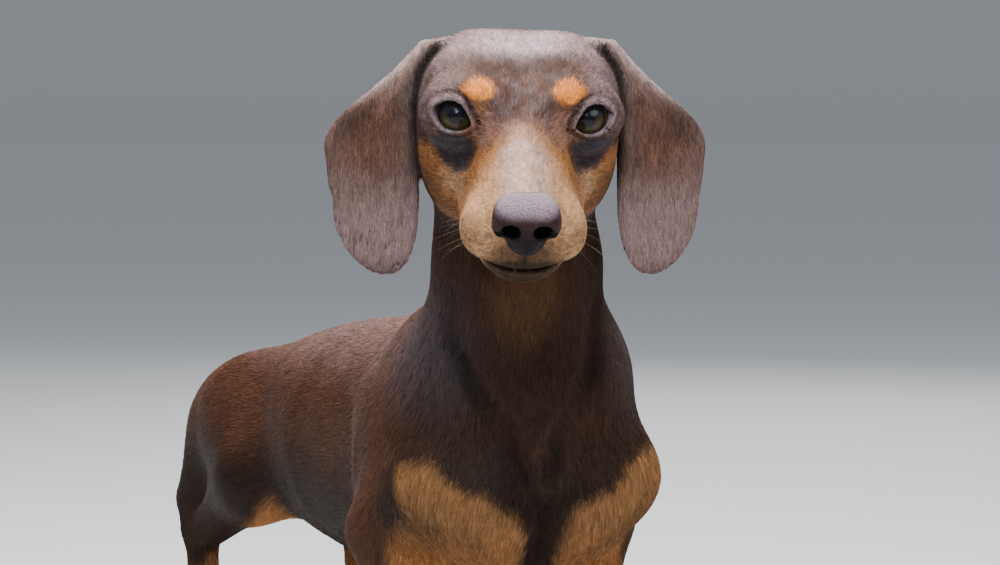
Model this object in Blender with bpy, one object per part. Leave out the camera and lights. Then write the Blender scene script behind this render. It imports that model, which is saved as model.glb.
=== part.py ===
"""A life-size smooth-coated miniature dachshund, chocolate and tan, standing with its head turned.

Metres, +Z up. The dog faces -Y and its left side is at +X. The floor is Z = 0.
The animal is described once, as a signed distance: each muscle, bone and pad is a ball, a tapered limb or a
lofted trunk, and they are blended as flesh blends. That surface is then meshed and parted with thin cuts.
"""

import itertools
import math

import bmesh
import bpy
import numpy as np
from mathutils import Matrix, Vector

# Driving dimensions
WITHERS_HEIGHT = 0.175
EYE_HEIGHT = 0.264
SKULL_HALF_WIDTH = 0.0410
EYEBALL_RADIUS = 0.0100
LID_RADIUS = 0.0114
CUT_GAP = 0.0003
FOOTPRINT_CENTRE = Vector((-0.0077, 0.1258, 0.0))

# The pose: how the head is turned, and how the spine and the stance depart from straight
HEAD_TURN = Matrix.Rotation(math.radians(-19.5), 3, "Z")
HEAD_NOD = Matrix.Rotation(math.radians(21.0), 3, "X")
HEAD_TILT = Matrix.Rotation(math.radians(1.5), 3, "Y")
EYE_MIDPOINT = np.array((-0.030, -0.104, EYE_HEIGHT))
SPINE_BEND = 0.28
CHEST_BEND = 2.6
CHEST_BEND_FROM = -0.020
FORE_STEP = 0.006
HIND_STEP = -0.008

# The trunk, from the chest back to the buttocks: place along Y, half width, level of that width, top, bottom
TRUNK = (
    (-0.062, 0.042, 0.115, 0.146, 0.080),
    (-0.030, 0.049, 0.110, 0.168, 0.066),
    (0.000, 0.052, 0.108, WITHERS_HEIGHT, 0.058),
    (0.050, 0.0535, 0.108, WITHERS_HEIGHT, 0.055),
    (0.100, 0.0545, 0.108, 0.1720, 0.057),
    (0.150, 0.0520, 0.110, 0.1670, 0.063),
    (0.190, 0.0460, 0.112, 0.1590, 0.071),
    (0.225, 0.0430, 0.113, 0.1480, 0.078),
    (0.262, 0.0370, 0.108, 0.1310, 0.083),
)
TRUNK_POWERS = (2.1, 2.3)

# Joints and landmarks of the left side, which the right side mirrors
WITHERS = (0.016, 0.020, 0.162)
SHOULDER = (0.0395, -0.035, 0.110)
ELBOW = (0.0510, 0.008, 0.086)
CARPUS = (0.0400, -0.004, 0.035)
FORE_PAW = (0.0435, -0.024)
HIP = (0.0300, 0.220, 0.116)
BUTTOCK = (0.0300, 0.254, 0.104)
STIFLE = (0.0460, 0.186, 0.088)
HOCK = (0.0440, 0.256, 0.052)
HIND_PAW = (0.0455, 0.232)
NECK = ((0.0, 0.004, 0.128), (-0.002, -0.026, 0.162), (-0.008, -0.044, 0.203), (-0.012, -0.047, 0.243))
NECK_RADII = (0.049, 0.0405, 0.0350, 0.0325)
TAIL = (
    (0.240, 0.000, 0.1260, 0.0150),
    (0.280, 0.006, 0.1200, 0.0108),
    (0.328, 0.028, 0.1080, 0.0082),
    (0.375, 0.066, 0.1000, 0.0058),
    (0.412, 0.116, 0.1000, 0.0024),
)
TAIL_STEPS = 12

# The head, measured from the point midway between the eyes, with the muzzle toward -Y
MUZZLE = (
    (-0.064, 0.0150, -0.026, -0.0085, -0.0370),
    (-0.050, 0.0205, -0.029, -0.0050, -0.0405),
    (-0.035, 0.0235, -0.030, -0.0005, -0.0410),
    (-0.015, 0.0255, -0.029, 0.0055, -0.0395),
    (0.005, 0.0290, -0.026, 0.0120, -0.0380),
    (0.025, 0.0320, -0.022, 0.0140, -0.0360),
)
MUZZLE_POWERS = (1.65, 2.3)
JAW = (
    (-0.0590, 0.0100, -0.038, -0.0330, -0.0485),
    (-0.0480, 0.0165, -0.038, -0.0330, -0.0510),
    (-0.0300, 0.0210, -0.038, -0.0310, -0.0525),
    (-0.0100, 0.0240, -0.038, -0.0300, -0.0535),
    (0.0150, 0.0280, -0.035, -0.0250, -0.0540),
    (0.0350, 0.0290, -0.032, -0.0200, -0.0520),
)
JAW_POWERS = (2.0, 2.1)
NOSE = (0.0, -0.0620, -0.0195)
NOSE_RADII = (0.0078, 0.0088, 0.0118)
NOSE_WING = (0.0056, -0.0615, -0.0165)
NOSE_WING_RADII = (0.0076, 0.0088, 0.0085)
NOSTRIL = (0.0064, -0.0705, -0.0200)
EYE = np.array((0.0253, 0.0010, 0.0))
EYE_OUTWARD = 20.0
EYE_UPWARD = 10.0
EYE_SLANT = 8.0
FISSURE_HALF = 0.0078
UPPER_LID_RISE = 0.0068
LOWER_LID_DROP = 0.0053
LID_FLARE = 0.45
MOUTH_LINE = ((-0.070, -0.0390), (-0.040, -0.0395), (-0.020, -0.0370), (-0.004, -0.0325), (0.010, -0.0300))
MOUTH_CORNER_Y = -0.004
JAW_BACK_BULGE = 0.004

# An ear, seen from the front with the head level: level, front edge, rear edge. It ends round below these
EAR = (
    (-0.0350, 0.0405, 0.0780),
    (-0.0200, 0.0405, 0.0800),
    (-0.0070, 0.0410, 0.0800),
    (0.0020, 0.0420, 0.0735),
    (0.0110, 0.0400, 0.0625),
    (0.0200, 0.0360, 0.0520),
    (0.0320, 0.0300, 0.0400),
)
EAR_TIP_LENGTH = 0.0305
EAR_FRONT_DEPTH = 0.034
EAR_FLARE = {"left": 0.70, "right": 0.66}
EAR_HALF_THICKNESS = 0.0013


def blend(a, b, reach):
    """Union of two distances, with a fillet that reaches this far."""
    near = np.maximum(reach - np.abs(a - b), 0.0) / reach
    return np.minimum(a, b) - near * near * reach / 4


def carve(a, b, reach):
    """What is left of a where b is taken away, with a rounded edge."""
    return -blend(-a, b, reach)


def turned(about_x, about_y, about_z):
    """A rotation from three angles in degrees, taken about X first."""
    angles = (math.radians(a) for a in (about_x, about_y, about_z))
    turns = [Matrix.Rotation(angle, 3, axis) for angle, axis in zip(angles, "XYZ")]
    return np.array(turns[2] @ turns[1] @ turns[0])


def ball(p, centre, radii):
    """Distance to an ellipsoid."""
    q = p - np.asarray(centre)
    radii = np.asarray(radii, float)
    k0 = np.sqrt(((q / radii) ** 2).sum(1))
    k1 = np.sqrt(((q / radii**2) ** 2).sum(1)) + 1e-9
    return k0 * (k0 - 1) / k1


def limb(p, start, end, r_start, r_end, squeeze=1.0):
    """Distance to a tapered limb with round ends. A squeeze under 1 flattens it across X."""
    scale = np.array((1 / squeeze, 1.0, 1.0))
    a, q = np.asarray(start) * scale, p * scale
    reach = np.asarray(end) * scale - a
    along = np.clip((q - a) @ reach / (reach @ reach), 0, 1)
    gap = np.sqrt(((q - a - along[:, None] * reach) ** 2).sum(1))
    return (gap - r_start - along * (r_end - r_start)) * squeeze**0.5


def chain(p, points, radii, reach):
    """Limbs end to end."""
    made = limb(p, points[0], points[1], radii[0], radii[1])
    for i in range(1, len(points) - 1):
        made = blend(made, limb(p, points[i], points[i + 1], radii[i], radii[i + 1]), reach)
    return made


def curve(stations, at):
    """The stations' other columns, read at these places along the first, on a smooth cubic through them."""
    table = np.asarray(stations, float)
    x, y = table[:, 0], table[:, 1:]
    slope = np.gradient(y, x, axis=0)
    at = np.clip(at, x[0], x[-1])
    i = np.clip(np.searchsorted(x, at) - 1, 0, len(x) - 2)
    span = (x[i + 1] - x[i])[:, None]
    t = (at - x[i])[:, None] / span
    start = y[i] * (1 + 2 * t) * (1 - t) ** 2 + slope[i] * span * t * (1 - t) ** 2
    end = y[i + 1] * t * t * (3 - 2 * t) + slope[i + 1] * span * t * t * (t - 1)
    return (start + end).T


def loft(p, stations, powers, end_round):
    """Distance to a form lofted along Y. The powers shape its section above and below its widest level."""
    width, level, top, bottom = curve(stations, p[:, 1])
    rise = p[:, 2] - level
    height = np.where(rise > 0, top - level, level - bottom)
    power = np.where(rise > 0, *powers)
    share = ((np.abs(p[:, 0]) / width) ** power + (np.abs(rise) / height) ** power) ** (1 / power)
    out = np.hypot(p[:, 0], rise)
    side = np.where(share > 1e-6, out - out / np.maximum(share, 1e-6), -np.minimum(width, height))
    first, last = stations[0][0], stations[-1][0]
    ends = np.abs(p[:, 1] - (first + last) / 2) - (last - first) / 2
    return -blend(-side, -ends, end_round)


def bent(p):
    """Points of the bent spine, moved back to a straight one. The chest leans the way the head turns."""
    q = p.copy()
    q[:, 0] += SPINE_BEND * np.maximum(p[:, 1], 0.0) ** 2
    q[:, 0] += CHEST_BEND * np.minimum(p[:, 1] - CHEST_BEND_FROM, 0.0) ** 2
    return q


def folded(p):
    """Points of the right side moved to the left."""
    q = p.copy()
    q[:, 0] = np.sqrt(p[:, 0] ** 2 + 1e-8)
    return q


def stepped(m, p):
    """The legs of each side swung a little from the shoulder and hip, as a standing dog sets them."""
    q = m.copy()
    drop = 1 - np.clip(p[:, 2] / 0.12, 0, 1)
    step = np.where(p[:, 1] < 0.12, FORE_STEP, HIND_STEP)
    q[:, 1] += np.sign(p[:, 0]) * step * drop
    return q


def trunk(q, m):
    """The rib cage, loin and croup, with the chest and rump muscles."""
    d = loft(q, TRUNK, TRUNK_POWERS, 0.060)
    d = blend(d, ball(m, (0.021, -0.048, 0.102), (0.024, 0.026, 0.028)), 0.014)
    d = blend(d, ball(m, (0.0270, -0.034, 0.143), (0.0180, 0.022, 0.026)), 0.016)
    d = blend(d, ball(q, (0.0, -0.073, 0.122), (0.011, 0.012, 0.016)), 0.016)
    d = blend(d, ball(q, (0.0, -0.014, 0.067), (0.014, 0.036, 0.010)), 0.018)
    return blend(d, ball(m, (0.024, 0.246, 0.108), (0.022, 0.022, 0.031)), 0.012)


def foreleg(m):
    """Shoulder blade, upper arm, forearm and wrist of one side."""
    d = limb(m, WITHERS, SHOULDER, 0.017, 0.0210)
    d = blend(d, limb(m, SHOULDER, ELBOW, 0.0210, 0.0135), 0.008)
    d = blend(d, ball(m, (0.0530, 0.014, 0.0865), (0.0070, 0.010, 0.011)), 0.008)
    d = blend(d, limb(m, (0.0490, 0.004, 0.082), CARPUS, 0.0150, 0.0098), 0.010)
    return blend(d, limb(m, CARPUS, (0.0425, -0.016, 0.017), 0.0105, 0.0110), 0.006)


def hindleg(m):
    """Thigh, second thigh, hock and the bone below it, of one side."""
    d = limb(m, HIP, STIFLE, 0.029, 0.020, 0.74)
    d = blend(d, ball(m, (0.038, 0.212, 0.102), (0.016, 0.031, 0.028)), 0.010)
    d = blend(d, limb(m, BUTTOCK, (0.0400, 0.264, 0.070), 0.0190, 0.0150, 0.80), 0.012)
    d = blend(d, limb(m, STIFLE, HOCK, 0.0190, 0.0085, 0.80), 0.012)
    d = blend(d, limb(m, HOCK, (0.0450, 0.250, 0.020), 0.0090, 0.0092, 0.85), 0.005)
    return blend(d, ball(m, (0.0440, 0.2635, 0.0560), (0.0055, 0.0065, 0.0080)), 0.006)


def paw(m, place, spread, length):
    """One paw: its pad and four toes set in an arc, a little into the floor, where it is cut flat."""
    x, y = place
    d = ball(m, (x, y + 0.006, 0.0092), (spread * 0.92, length * 0.62, 0.0104))
    for side in (-1.5, -0.5, 0.5, 1.5):
        ahead = length * (0.52 if abs(side) < 1 else 0.28)
        knuckle = (x + side * spread * 0.36, y + 0.001, 0.0095)
        tip = (x + side * spread * 0.46, y - ahead, 0.0045)
        d = blend(d, limb(m, knuckle, tip, 0.0058, 0.0052), 0.0022)
    return d


def tail(q):
    """The tail, carried low and swept to the left."""
    along = np.linspace(TAIL[0][0], TAIL[-1][0], TAIL_STEPS)
    across, level, radius = curve(TAIL, along)
    return chain(q, np.column_stack([across, along, level]), radius, 0.0004)


def body(p):
    """Trunk, neck, legs, paws and tail."""
    q = bent(p)
    m = folded(q)
    legs = stepped(m, q)
    d = blend(trunk(q, m), foreleg(legs), 0.012)
    d = blend(d, hindleg(legs), 0.020)
    feet = np.minimum(paw(legs, FORE_PAW, 0.0162, 0.028), paw(legs, HIND_PAW, 0.0136, 0.026))
    d = blend(d, feet, 0.006)
    d = blend(d, chain(p, NECK, NECK_RADII, 0.006), 0.030)
    return blend(d, tail(q), 0.012)


def from_head(p):
    """Places on the dog, told in the head's own directions."""
    return (p - EYE_MIDPOINT) @ np.array(HEAD_TURN @ HEAD_NOD @ HEAD_TILT)


def eye_turn():
    """Which way an eye's opening faces, and the slant of its corners."""
    return turned(0, 0, EYE_OUTWARD) @ turned(-EYE_UPWARD, 0, 0) @ turned(0, -EYE_SLANT, 0)


def eye_opening(h):
    """Distance in front of the eye to the almond between the lids."""
    q = (h - EYE) @ eye_turn()
    arcs = []
    for rise, sign in ((UPPER_LID_RISE, 1), (LOWER_LID_DROP, -1)):
        radius = (FISSURE_HALF**2 + rise**2) / (2 * rise)
        arcs.append(np.hypot(q[:, 0], q[:, 2] + sign * (radius - rise)) - radius)
    flare = LID_FLARE * np.maximum(np.sqrt((q**2).sum(1)) - EYEBALL_RADIUS, 0)
    return np.maximum(np.maximum(*arcs) - flare, q[:, 1])


def head(p):
    """Skull, cheeks, muzzle, lips, jaw, nose and lids."""
    h = from_head(p)
    m = folded(h)
    skull = ball(m, (0.0, 0.034, -0.004), (SKULL_HALF_WIDTH - 0.004, 0.045, 0.0255))
    skull = blend(skull, ball(m, (0.0210, 0.030, 0.001), (0.0185, 0.036, 0.0200)), 0.012)
    d = blend(skull, ball(m, (SKULL_HALF_WIDTH - 0.0150, 0.026, -0.019), (0.0152, 0.027, 0.0215)), 0.010)
    d = blend(d, ball(m, (0.0235, 0.026, -0.0345), (0.0140, 0.024, 0.0170)), 0.010)
    d = blend(d, ball(m, (0.017, -0.001, 0.006), (0.0125, 0.011, 0.009)), 0.010)
    d = blend(d, loft(h, MUZZLE, MUZZLE_POWERS, 0.010), 0.012)
    d = blend(d, ball(m, (0.0140, -0.046, -0.028), (0.0110, 0.017, 0.0110)), 0.006)
    d = blend(d, loft(h, JAW, JAW_POWERS, 0.010), 0.004)
    d = blend(d, ball(m, EYE, (LID_RADIUS, LID_RADIUS, LID_RADIUS)), 0.005)
    nose = blend(ball(h, NOSE, NOSE_RADII), ball(m, NOSE_WING, NOSE_WING_RADII), 0.003)
    d = blend(d, nose, 0.003)
    d = carve(d, limb(h, (0, -0.0735, -0.023), (0, -0.066, -0.038), 0.0006, 0.0006), 0.0016)
    d = carve(d, ball(m, NOSTRIL, (0.0034, 0.0060, 0.0034)), 0.0015)
    eye = np.maximum(eye_opening(m), 0.008 - np.sqrt(((m - EYE) ** 2).sum(1)))
    return carve(d, eye, 0.0012)


def ear_edge(across, level):
    """Distance in the plane of an ear to its outline, and where a place lies between its two edges."""
    front, rear = curve(EAR, level)
    past = np.clip((EAR[0][0] - level) / EAR_TIP_LENGTH, 0, 1)
    half = np.maximum((rear - front) / 2 * np.sqrt(1 - past**2), 1e-5)
    middle = (front + rear) / 2 - 0.004 * past**2
    return np.abs(across - middle) - half, (across - middle) / ((rear - front) / 2)


def ear(p, side):
    """One ear: a thin flap hung from the side of the skull, its front edge at the cheek, its rear flared."""
    q = (p - EYE_MIDPOINT) @ np.array(HEAD_TURN)
    q[:, 0] *= 1 if side == "left" else -1
    x, y, z = q.T
    edge, across = ear_edge(x, z)
    step = 0.0005
    slope = (ear_edge(x, z + step)[0] - ear_edge(x, z - step)[0]) / (2 * step)
    edge = edge / np.hypot(1, np.clip(slope, -4, 4))
    low = EAR[0][0] - EAR_TIP_LENGTH
    height = (z - low) / (EAR[-1][0] - low)
    sheet = EAR_FRONT_DEPTH + EAR_FLARE[side] * (x - EAR[0][1])
    sheet += 0.0045 * np.minimum(across**2, 1.5) - 0.006 * (1 - height) ** 2
    sheet -= 0.0030 * np.exp(-(((across + 0.15) / 0.25) ** 2)) * height
    sheet += 0.0030 * np.exp(-(((across - 0.45) / 0.35) ** 2) - ((height - 0.62) / 0.16) ** 2)
    lean = math.hypot(1, EAR_FLARE[side])
    flat = np.abs(y - sheet) / lean - EAR_HALF_THICKNESS - 0.0014 * np.clip(height, 0, 1)
    ends = np.maximum(low - z, z - EAR[-1][0])
    flap = -blend(-flat, -np.maximum(edge, ends), 0.0024)
    root = limb(q, (0.0300, 0.036, 0.0230), (0.0440, 0.037, 0.0100), 0.0070, 0.0035)
    return blend(flap, root, 0.010)


def flesh(p):
    """The whole dog but its ears and eyeballs."""
    return blend(head(p), body(p), 0.014)


def surface(field, low, high, cell):
    """Mesh the zero level of a field in a box. Each cube of the grid is split in six, so the mesh closes."""
    axes = [np.arange(a, b + cell, cell) for a, b in zip(low, high)]
    size = np.array([len(a) for a in axes])
    value = np.empty(size)
    y, z = (grid.ravel() for grid in np.meshgrid(axes[1], axes[2], indexing="ij"))
    for i, x in enumerate(axes[0]):
        value[i] = field(np.column_stack([np.full(len(y), x), y, z])).reshape(size[1:])
    inside = value < 0
    full = np.ones(size - 1, bool)
    empty = np.ones(size - 1, bool)
    for di, dj, dk in itertools.product((0, 1), repeat=3):
        corner = inside[di : size[0] - 1 + di, dj : size[1] - 1 + dj, dk : size[2] - 1 + dk]
        full &= corner
        empty &= ~corner
    cubes = np.argwhere(~full & ~empty)
    stride = np.array((size[1] * size[2], size[2], 1))
    edges, faces, used = [], [], 0
    for order in itertools.permutations(range(3)):
        steps = np.zeros((4, 3), int)
        steps[1:, order[0]] = 1
        steps[2:, order[1]] = 1
        steps[3:, order[2]] = 1
        corners = (cubes[:, None, :] + steps) @ stride
        within = inside.ravel()[corners]
        corners = np.take_along_axis(corners, np.argsort(~within, axis=1, kind="stable"), 1)
        for count, crossed in ((1, ((0, 1), (0, 2), (0, 3))), (3, ((3, 0), (3, 1), (3, 2)))):
            chosen = corners[within.sum(1) == count]
            edges.append(np.vstack([chosen[:, pair] for pair in crossed]))
            first = used + np.arange(len(chosen))
            faces.append(np.column_stack([first + k * len(chosen) for k in range(3)]))
            used += 3 * len(chosen)
        chosen = corners[within.sum(1) == 2]
        edges.append(np.vstack([chosen[:, pair] for pair in ((0, 2), (0, 3), (1, 3), (1, 2))]))
        first = used + np.arange(len(chosen))
        ring = [first + k * len(chosen) for k in range(4)]
        faces += [np.column_stack([ring[0], ring[1], ring[2]]), np.column_stack([ring[0], ring[2], ring[3]])]
        used += 4 * len(chosen)
    pairs = np.sort(np.vstack(edges), axis=1)
    unique, place = np.unique(pairs[:, 0] * value.size + pairs[:, 1], return_inverse=True)
    ends = [np.column_stack(np.unravel_index(k, size)) for k in divmod(unique, value.size)]
    near, far = (value.ravel()[k] for k in divmod(unique, value.size))
    along = np.clip(near / (near - far), 0.15, 0.85)[:, None]
    points = (ends[0] * (1 - along) + ends[1] * along) * cell + np.array([a[0] for a in axes])
    return settled(field, points, cell), place.ravel()[np.vstack(faces)]


def settled(field, points, cell):
    """Mesh corners slid onto the zero level."""
    step = 0.05 * cell
    for _ in range(2):
        away = field(points)
        slope = np.column_stack([(field(points + step * d) - field(points - step * d)) for d in np.eye(3)])
        slope /= 2 * step
        move = away[:, None] * slope / np.maximum((slope**2).sum(1), 0.2)[:, None]
        points = points - np.clip(move, -0.4 * cell, 0.4 * cell)
    return points


# Building: every piece in metres, then moved so that the floor under the middle of the dog is the origin
BODY_CELL = 0.0025
HEAD_CELL = 0.0011
EAR_CELL = 0.0012
BODY_FACES = 6400
HEAD_FACES = 4600
EAR_FACES = 560
EYE_SEGMENTS = 20
EYE_RINGS = 12
ROUND_STEPS = 48
WRIST_LEVEL = 0.028
CLEAR = 0.12
SHARP_ANGLE = math.radians(45)

CHOCOLATE = (0.060, 0.028, 0.020)
DARK_CHOCOLATE = (0.035, 0.018, 0.014)
TAN = (0.330, 0.150, 0.055)
LIVER = (0.090, 0.050, 0.048)
IRIS = (0.030, 0.018, 0.010)

# Where the head leaves the neck, told with the head level, and where the neck and tail leave the trunk
HEAD_CUT = (Vector((0.0, 0.020, -0.062)), Vector((0.0, 0.79, -0.61)).normalized())
NECK_CUT = (Vector((0.0, -0.078, 0.140)), Vector((0.0, -0.438, 0.899)).normalized())
TAIL_CUT = (Vector((-0.016, 0.276, 0.1215)), Vector((0.0, 0.900, 0.436)).normalized())

# Each quarter is cut off inside an oval, seen from the side, and a leaning plane: where along Y and how high
# its middle is, its two radii, how far out the plane is at the floor, and how far it leans out with height
FORE_QUARTER = (-0.005, 0.045, 0.062, 0.108, 0.012, 0.20)
HIND_QUARTER = (0.222, 0.050, 0.064, 0.096, 0.010, 0.18)


def new_piece(name, points, faces):
    data = bpy.data.meshes.new(name)
    data.from_pydata([tuple(p) for p in points], [], [tuple(f) for f in faces])
    made = bpy.data.objects.new(name, data)
    bpy.context.scene.collection.objects.link(made)
    return made


def copied(piece, name):
    made = bpy.data.objects.new(name, piece.data.copy())
    bpy.context.scene.collection.objects.link(made)
    return made


def worked(piece, kind, **settings):
    """A piece with one modifier applied."""
    step = piece.modifiers.new(kind, kind)
    for key, value in settings.items():
        setattr(step, key, value)
    bpy.context.view_layer.update()
    graph = bpy.context.evaluated_depsgraph_get()
    data = bpy.data.meshes.new_from_object(piece.evaluated_get(graph))
    piece.modifiers.clear()
    piece.data = data
    return piece


def thinned(piece, faces):
    """A piece with no more than this many triangles, the flat stretches thinned first."""
    worked(piece, "TRIANGULATE")
    if len(piece.data.polygons) > faces:
        worked(piece, "DECIMATE", ratio=faces / len(piece.data.polygons))
    return piece


def cut_away(piece, cutter):
    """Take a cutter away from a piece. The cutter is used up."""
    worked(piece, "BOOLEAN", object=cutter, operation="DIFFERENCE", solver="EXACT")
    bpy.data.objects.remove(cutter)
    return piece


def parted(whole, cutter_at, name):
    """The piece of a whole that lies in a cutter. The whole keeps the rest, a gap away."""
    inner = cutter_at(0.0)
    piece = worked(copied(whole, name), "BOOLEAN", object=inner, operation="INTERSECT", solver="EXACT")
    bpy.data.objects.remove(inner)
    cut_away(whole, cutter_at(CUT_GAP))
    return piece


def sliced(piece, point, normal):
    """What is left of a piece when all that lies past a plane is cut off, with the cut closed flat."""
    work = bmesh.new()
    work.from_mesh(piece.data)
    geometry = work.verts[:] + work.edges[:] + work.faces[:]
    bmesh.ops.bisect_plane(work, geom=geometry, plane_co=point, plane_no=normal, clear_outer=True, dist=1e-7)
    rim = [edge for edge in work.edges if edge.is_boundary]
    bmesh.ops.holes_fill(work, edges=rim, sides=0)
    bmesh.ops.triangulate(work, faces=[face for face in work.faces if len(face.verts) > 4])
    bmesh.ops.recalc_face_normals(work, faces=work.faces)
    work.to_mesh(piece.data)
    work.free()
    return piece


def halved(whole, point, normal, name):
    """A whole cut in two along a plane: the piece past the plane is new, the rest stays."""
    piece = sliced(copied(whole, name), point + normal * CUT_GAP / 2, -normal)
    sliced(whole, point - normal * CUT_GAP / 2, normal)
    return piece


def extruded(name, outline, inner_x, outer_x):
    """A solid between two copies of an outline. inner_x and outer_x give their places along X."""
    count = len(outline)
    near = [(inner_x(y, z), y, z) for y, z in outline]
    far = [(outer_x(y, z), y, z) for y, z in outline]
    faces = [(i, (i + 1) % count, count + (i + 1) % count, count + i) for i in range(count)]
    faces += [tuple(range(count))[::-1], tuple(range(count, 2 * count))]
    return facing_out(new_piece(name, near + far, faces))


def facing_out(piece):
    work = bmesh.new()
    work.from_mesh(piece.data)
    bmesh.ops.recalc_face_normals(work, faces=work.faces)
    work.to_mesh(piece.data)
    work.free()
    return piece


def quarter_cutter(quarter, sign):
    """The block that one leg and its shoulder or thigh are cut out with."""
    y, z, long, high, foot, lean = quarter
    shift = -SPINE_BEND * max(y, 0.0) ** 2

    def cutter_at(gap):
        angles = [math.tau * i / ROUND_STEPS for i in range(ROUND_STEPS)]
        outline = [(y + (long + gap) * math.cos(a), z + (high + gap) * math.sin(a)) for a in angles]
        inset = foot - gap * math.hypot(1, lean)
        return extruded(
            "cutter",
            outline,
            lambda _, level: shift + sign * (inset + lean * level),
            lambda _, level: shift + sign * CLEAR,
        )

    return cutter_at


def on_head(local):
    """A place told in the head's own directions, set on the dog."""
    return Vector(EYE_MIDPOINT) + HEAD_TURN @ HEAD_NOD @ HEAD_TILT @ Vector(local)


def oval(name, centre, radii, segments, rings):
    """A ball or egg on the head."""
    points = [(0, 0, 1)]
    for ring in range(1, rings):
        polar = math.pi * ring / rings
        for segment in range(segments):
            around = math.tau * segment / segments
            out = math.sin(polar)
            points.append((out * math.cos(around), out * math.sin(around), math.cos(polar)))
    points.append((0, 0, -1))
    last = len(points) - 1
    faces = []
    for segment in range(segments):
        after = (segment + 1) % segments
        faces.append((0, 1 + segment, 1 + after))
        for ring in range(rings - 2):
            a = 1 + ring * segments
            b = a + segments
            faces.append((a + segment, b + segment, b + after, a + after))
        foot = 1 + (rings - 2) * segments
        faces.append((foot + segment, last, foot + after))
    placed = [on_head([c + r * v for c, r, v in zip(centre, radii, point)]) for point in points]
    return new_piece(name, placed, faces)


def eyeball(name, sign, grown):
    radius = EYEBALL_RADIUS + grown
    return oval(name, EYE * (sign, 1, 1), (radius, radius, radius), EYE_SEGMENTS, EYE_RINGS)


def nose_cutter(gap):
    radii = [r + gap for r in (0.0142, 0.0096, 0.0130)]
    return oval("cutter", (NOSE[0], NOSE[1] - 0.0035, NOSE[2]), radii, 24, 14)


def jaw_cutter(gap):
    """The block under the line of the mouth, with a rounded back at its corners."""
    front, back, low = -0.085, MOUTH_CORNER_Y, -0.075
    steps = np.linspace(front, back, 24)
    outline = [(y, curve(MOUTH_LINE, np.array([y]))[0][0] + gap) for y in steps]
    corner_level = outline[-1][1]
    for share in (0.25, 0.5, 0.75, 1.0):
        bulge = JAW_BACK_BULGE * math.sin(math.pi * share)
        outline.append((back + gap + bulge, corner_level + (low - corner_level) * share))
    outline.append((front, low))
    block = extruded("cutter", outline, lambda y, z: -CLEAR, lambda y, z: CLEAR)
    for corner in block.data.vertices:
        corner.co = on_head(corner.co)
    return block


def grown(piece, amount):
    """A copy of a piece, larger all round by this much."""
    made = copied(piece, "grown")
    normals = [corner.normal.copy() for corner in made.data.vertices]
    for corner, normal in zip(made.data.vertices, normals):
        corner.co += normal * amount
    return made


def build_body():
    """The trunk, neck, legs, paws and tail, parted from one skin."""
    points, quads = surface(flesh, (-0.150, -0.120, -0.006), (0.105, 0.430, 0.300), BODY_CELL)
    torso = facing_out(thinned(new_piece("torso", points, quads), BODY_FACES))
    head_point, head_normal = HEAD_CUT
    head_normal = HEAD_TURN @ head_normal
    head_point = Vector(EYE_MIDPOINT) + HEAD_TURN @ head_point + head_normal * CUT_GAP / 2
    sliced(torso, head_point, -head_normal)
    sliced(torso, Vector((0, 0, 0)), Vector((0, 0, -1)))
    pieces = [halved(torso, *NECK_CUT, "neck"), halved(torso, *TAIL_CUT, "tail")]
    for side, sign in (("left", 1), ("right", -1)):
        for kind, quarter in (("fore", FORE_QUARTER), ("hind", HIND_QUARTER)):
            paw_piece = parted(torso, quarter_cutter(quarter, sign), f"{kind}paw_{side}")
            leg = halved(paw_piece, Vector((0, 0, WRIST_LEVEL)), Vector((0, 0, 1)), f"{kind}leg_{side}")
            pieces += [paw_piece, leg]
    return [torso] + pieces


def build_head():
    """The head, jaw, nose, eyes and ears."""
    low, high = EYE_MIDPOINT + (-0.065, -0.085, -0.080), EYE_MIDPOINT + (0.070, 0.100, 0.045)
    points, quads = surface(flesh, low, high, HEAD_CELL)
    skull = facing_out(thinned(new_piece("head", points, quads), HEAD_FACES))
    normal = HEAD_TURN @ HEAD_CUT[1]
    point = Vector(EYE_MIDPOINT) + HEAD_TURN @ HEAD_CUT[0] - normal * CUT_GAP / 2
    sliced(skull, point, normal)
    pieces = [skull]
    for side in ("left", "right"):
        low, high = EYE_MIDPOINT + (-0.105, -0.040, -0.078), EYE_MIDPOINT + (0.105, 0.110, 0.048)
        points, quads = surface(lambda p: ear(p, side), low, high, EAR_CELL)
        flap = facing_out(thinned(new_piece(f"ear_{side}", points, quads), EAR_FACES))
        pieces.append(cut_away(flap, grown(skull, CUT_GAP)))
    pieces.append(parted(skull, nose_cutter, "nose"))
    pieces.append(parted(skull, jaw_cutter, "lower_jaw"))
    for side, sign in (("left", 1), ("right", -1)):
        cut_away(skull, eyeball("socket", sign, CUT_GAP))
        pieces.append(eyeball(f"eye_{side}", sign, 0.0))
    return pieces


def paint(piece):
    """Give a piece its own material."""
    colour, roughness = CHOCOLATE, 0.6
    if "paw" in piece.name or piece.name == "lower_jaw":
        colour = TAN
    if piece.name.startswith("ear"):
        colour = DARK_CHOCOLATE
    if piece.name == "nose":
        colour, roughness = LIVER, 0.35
    if piece.name.startswith("eye"):
        colour, roughness = IRIS, 0.08
    material = bpy.data.materials.new(piece.name)
    material.use_nodes = True
    shader = material.node_tree.nodes["Principled BSDF"]
    shader.inputs["Base Color"].default_value = (*colour, 1.0)
    shader.inputs["Roughness"].default_value = roughness
    shader.inputs["Metallic"].default_value = 0.0
    piece.data.materials.clear()
    piece.data.materials.append(material)


for old in list(bpy.data.objects):
    bpy.data.objects.remove(old)
for made in build_body() + build_head():
    made.data.transform(Matrix.Translation(-FOOTPRINT_CENTRE))
    worked(made, "TRIANGULATE")
    facing_out(made)
    paint(made)
    made.data.shade_smooth()
    made.data.set_sharp_from_angle(angle=SHARP_ANGLE)
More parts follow.
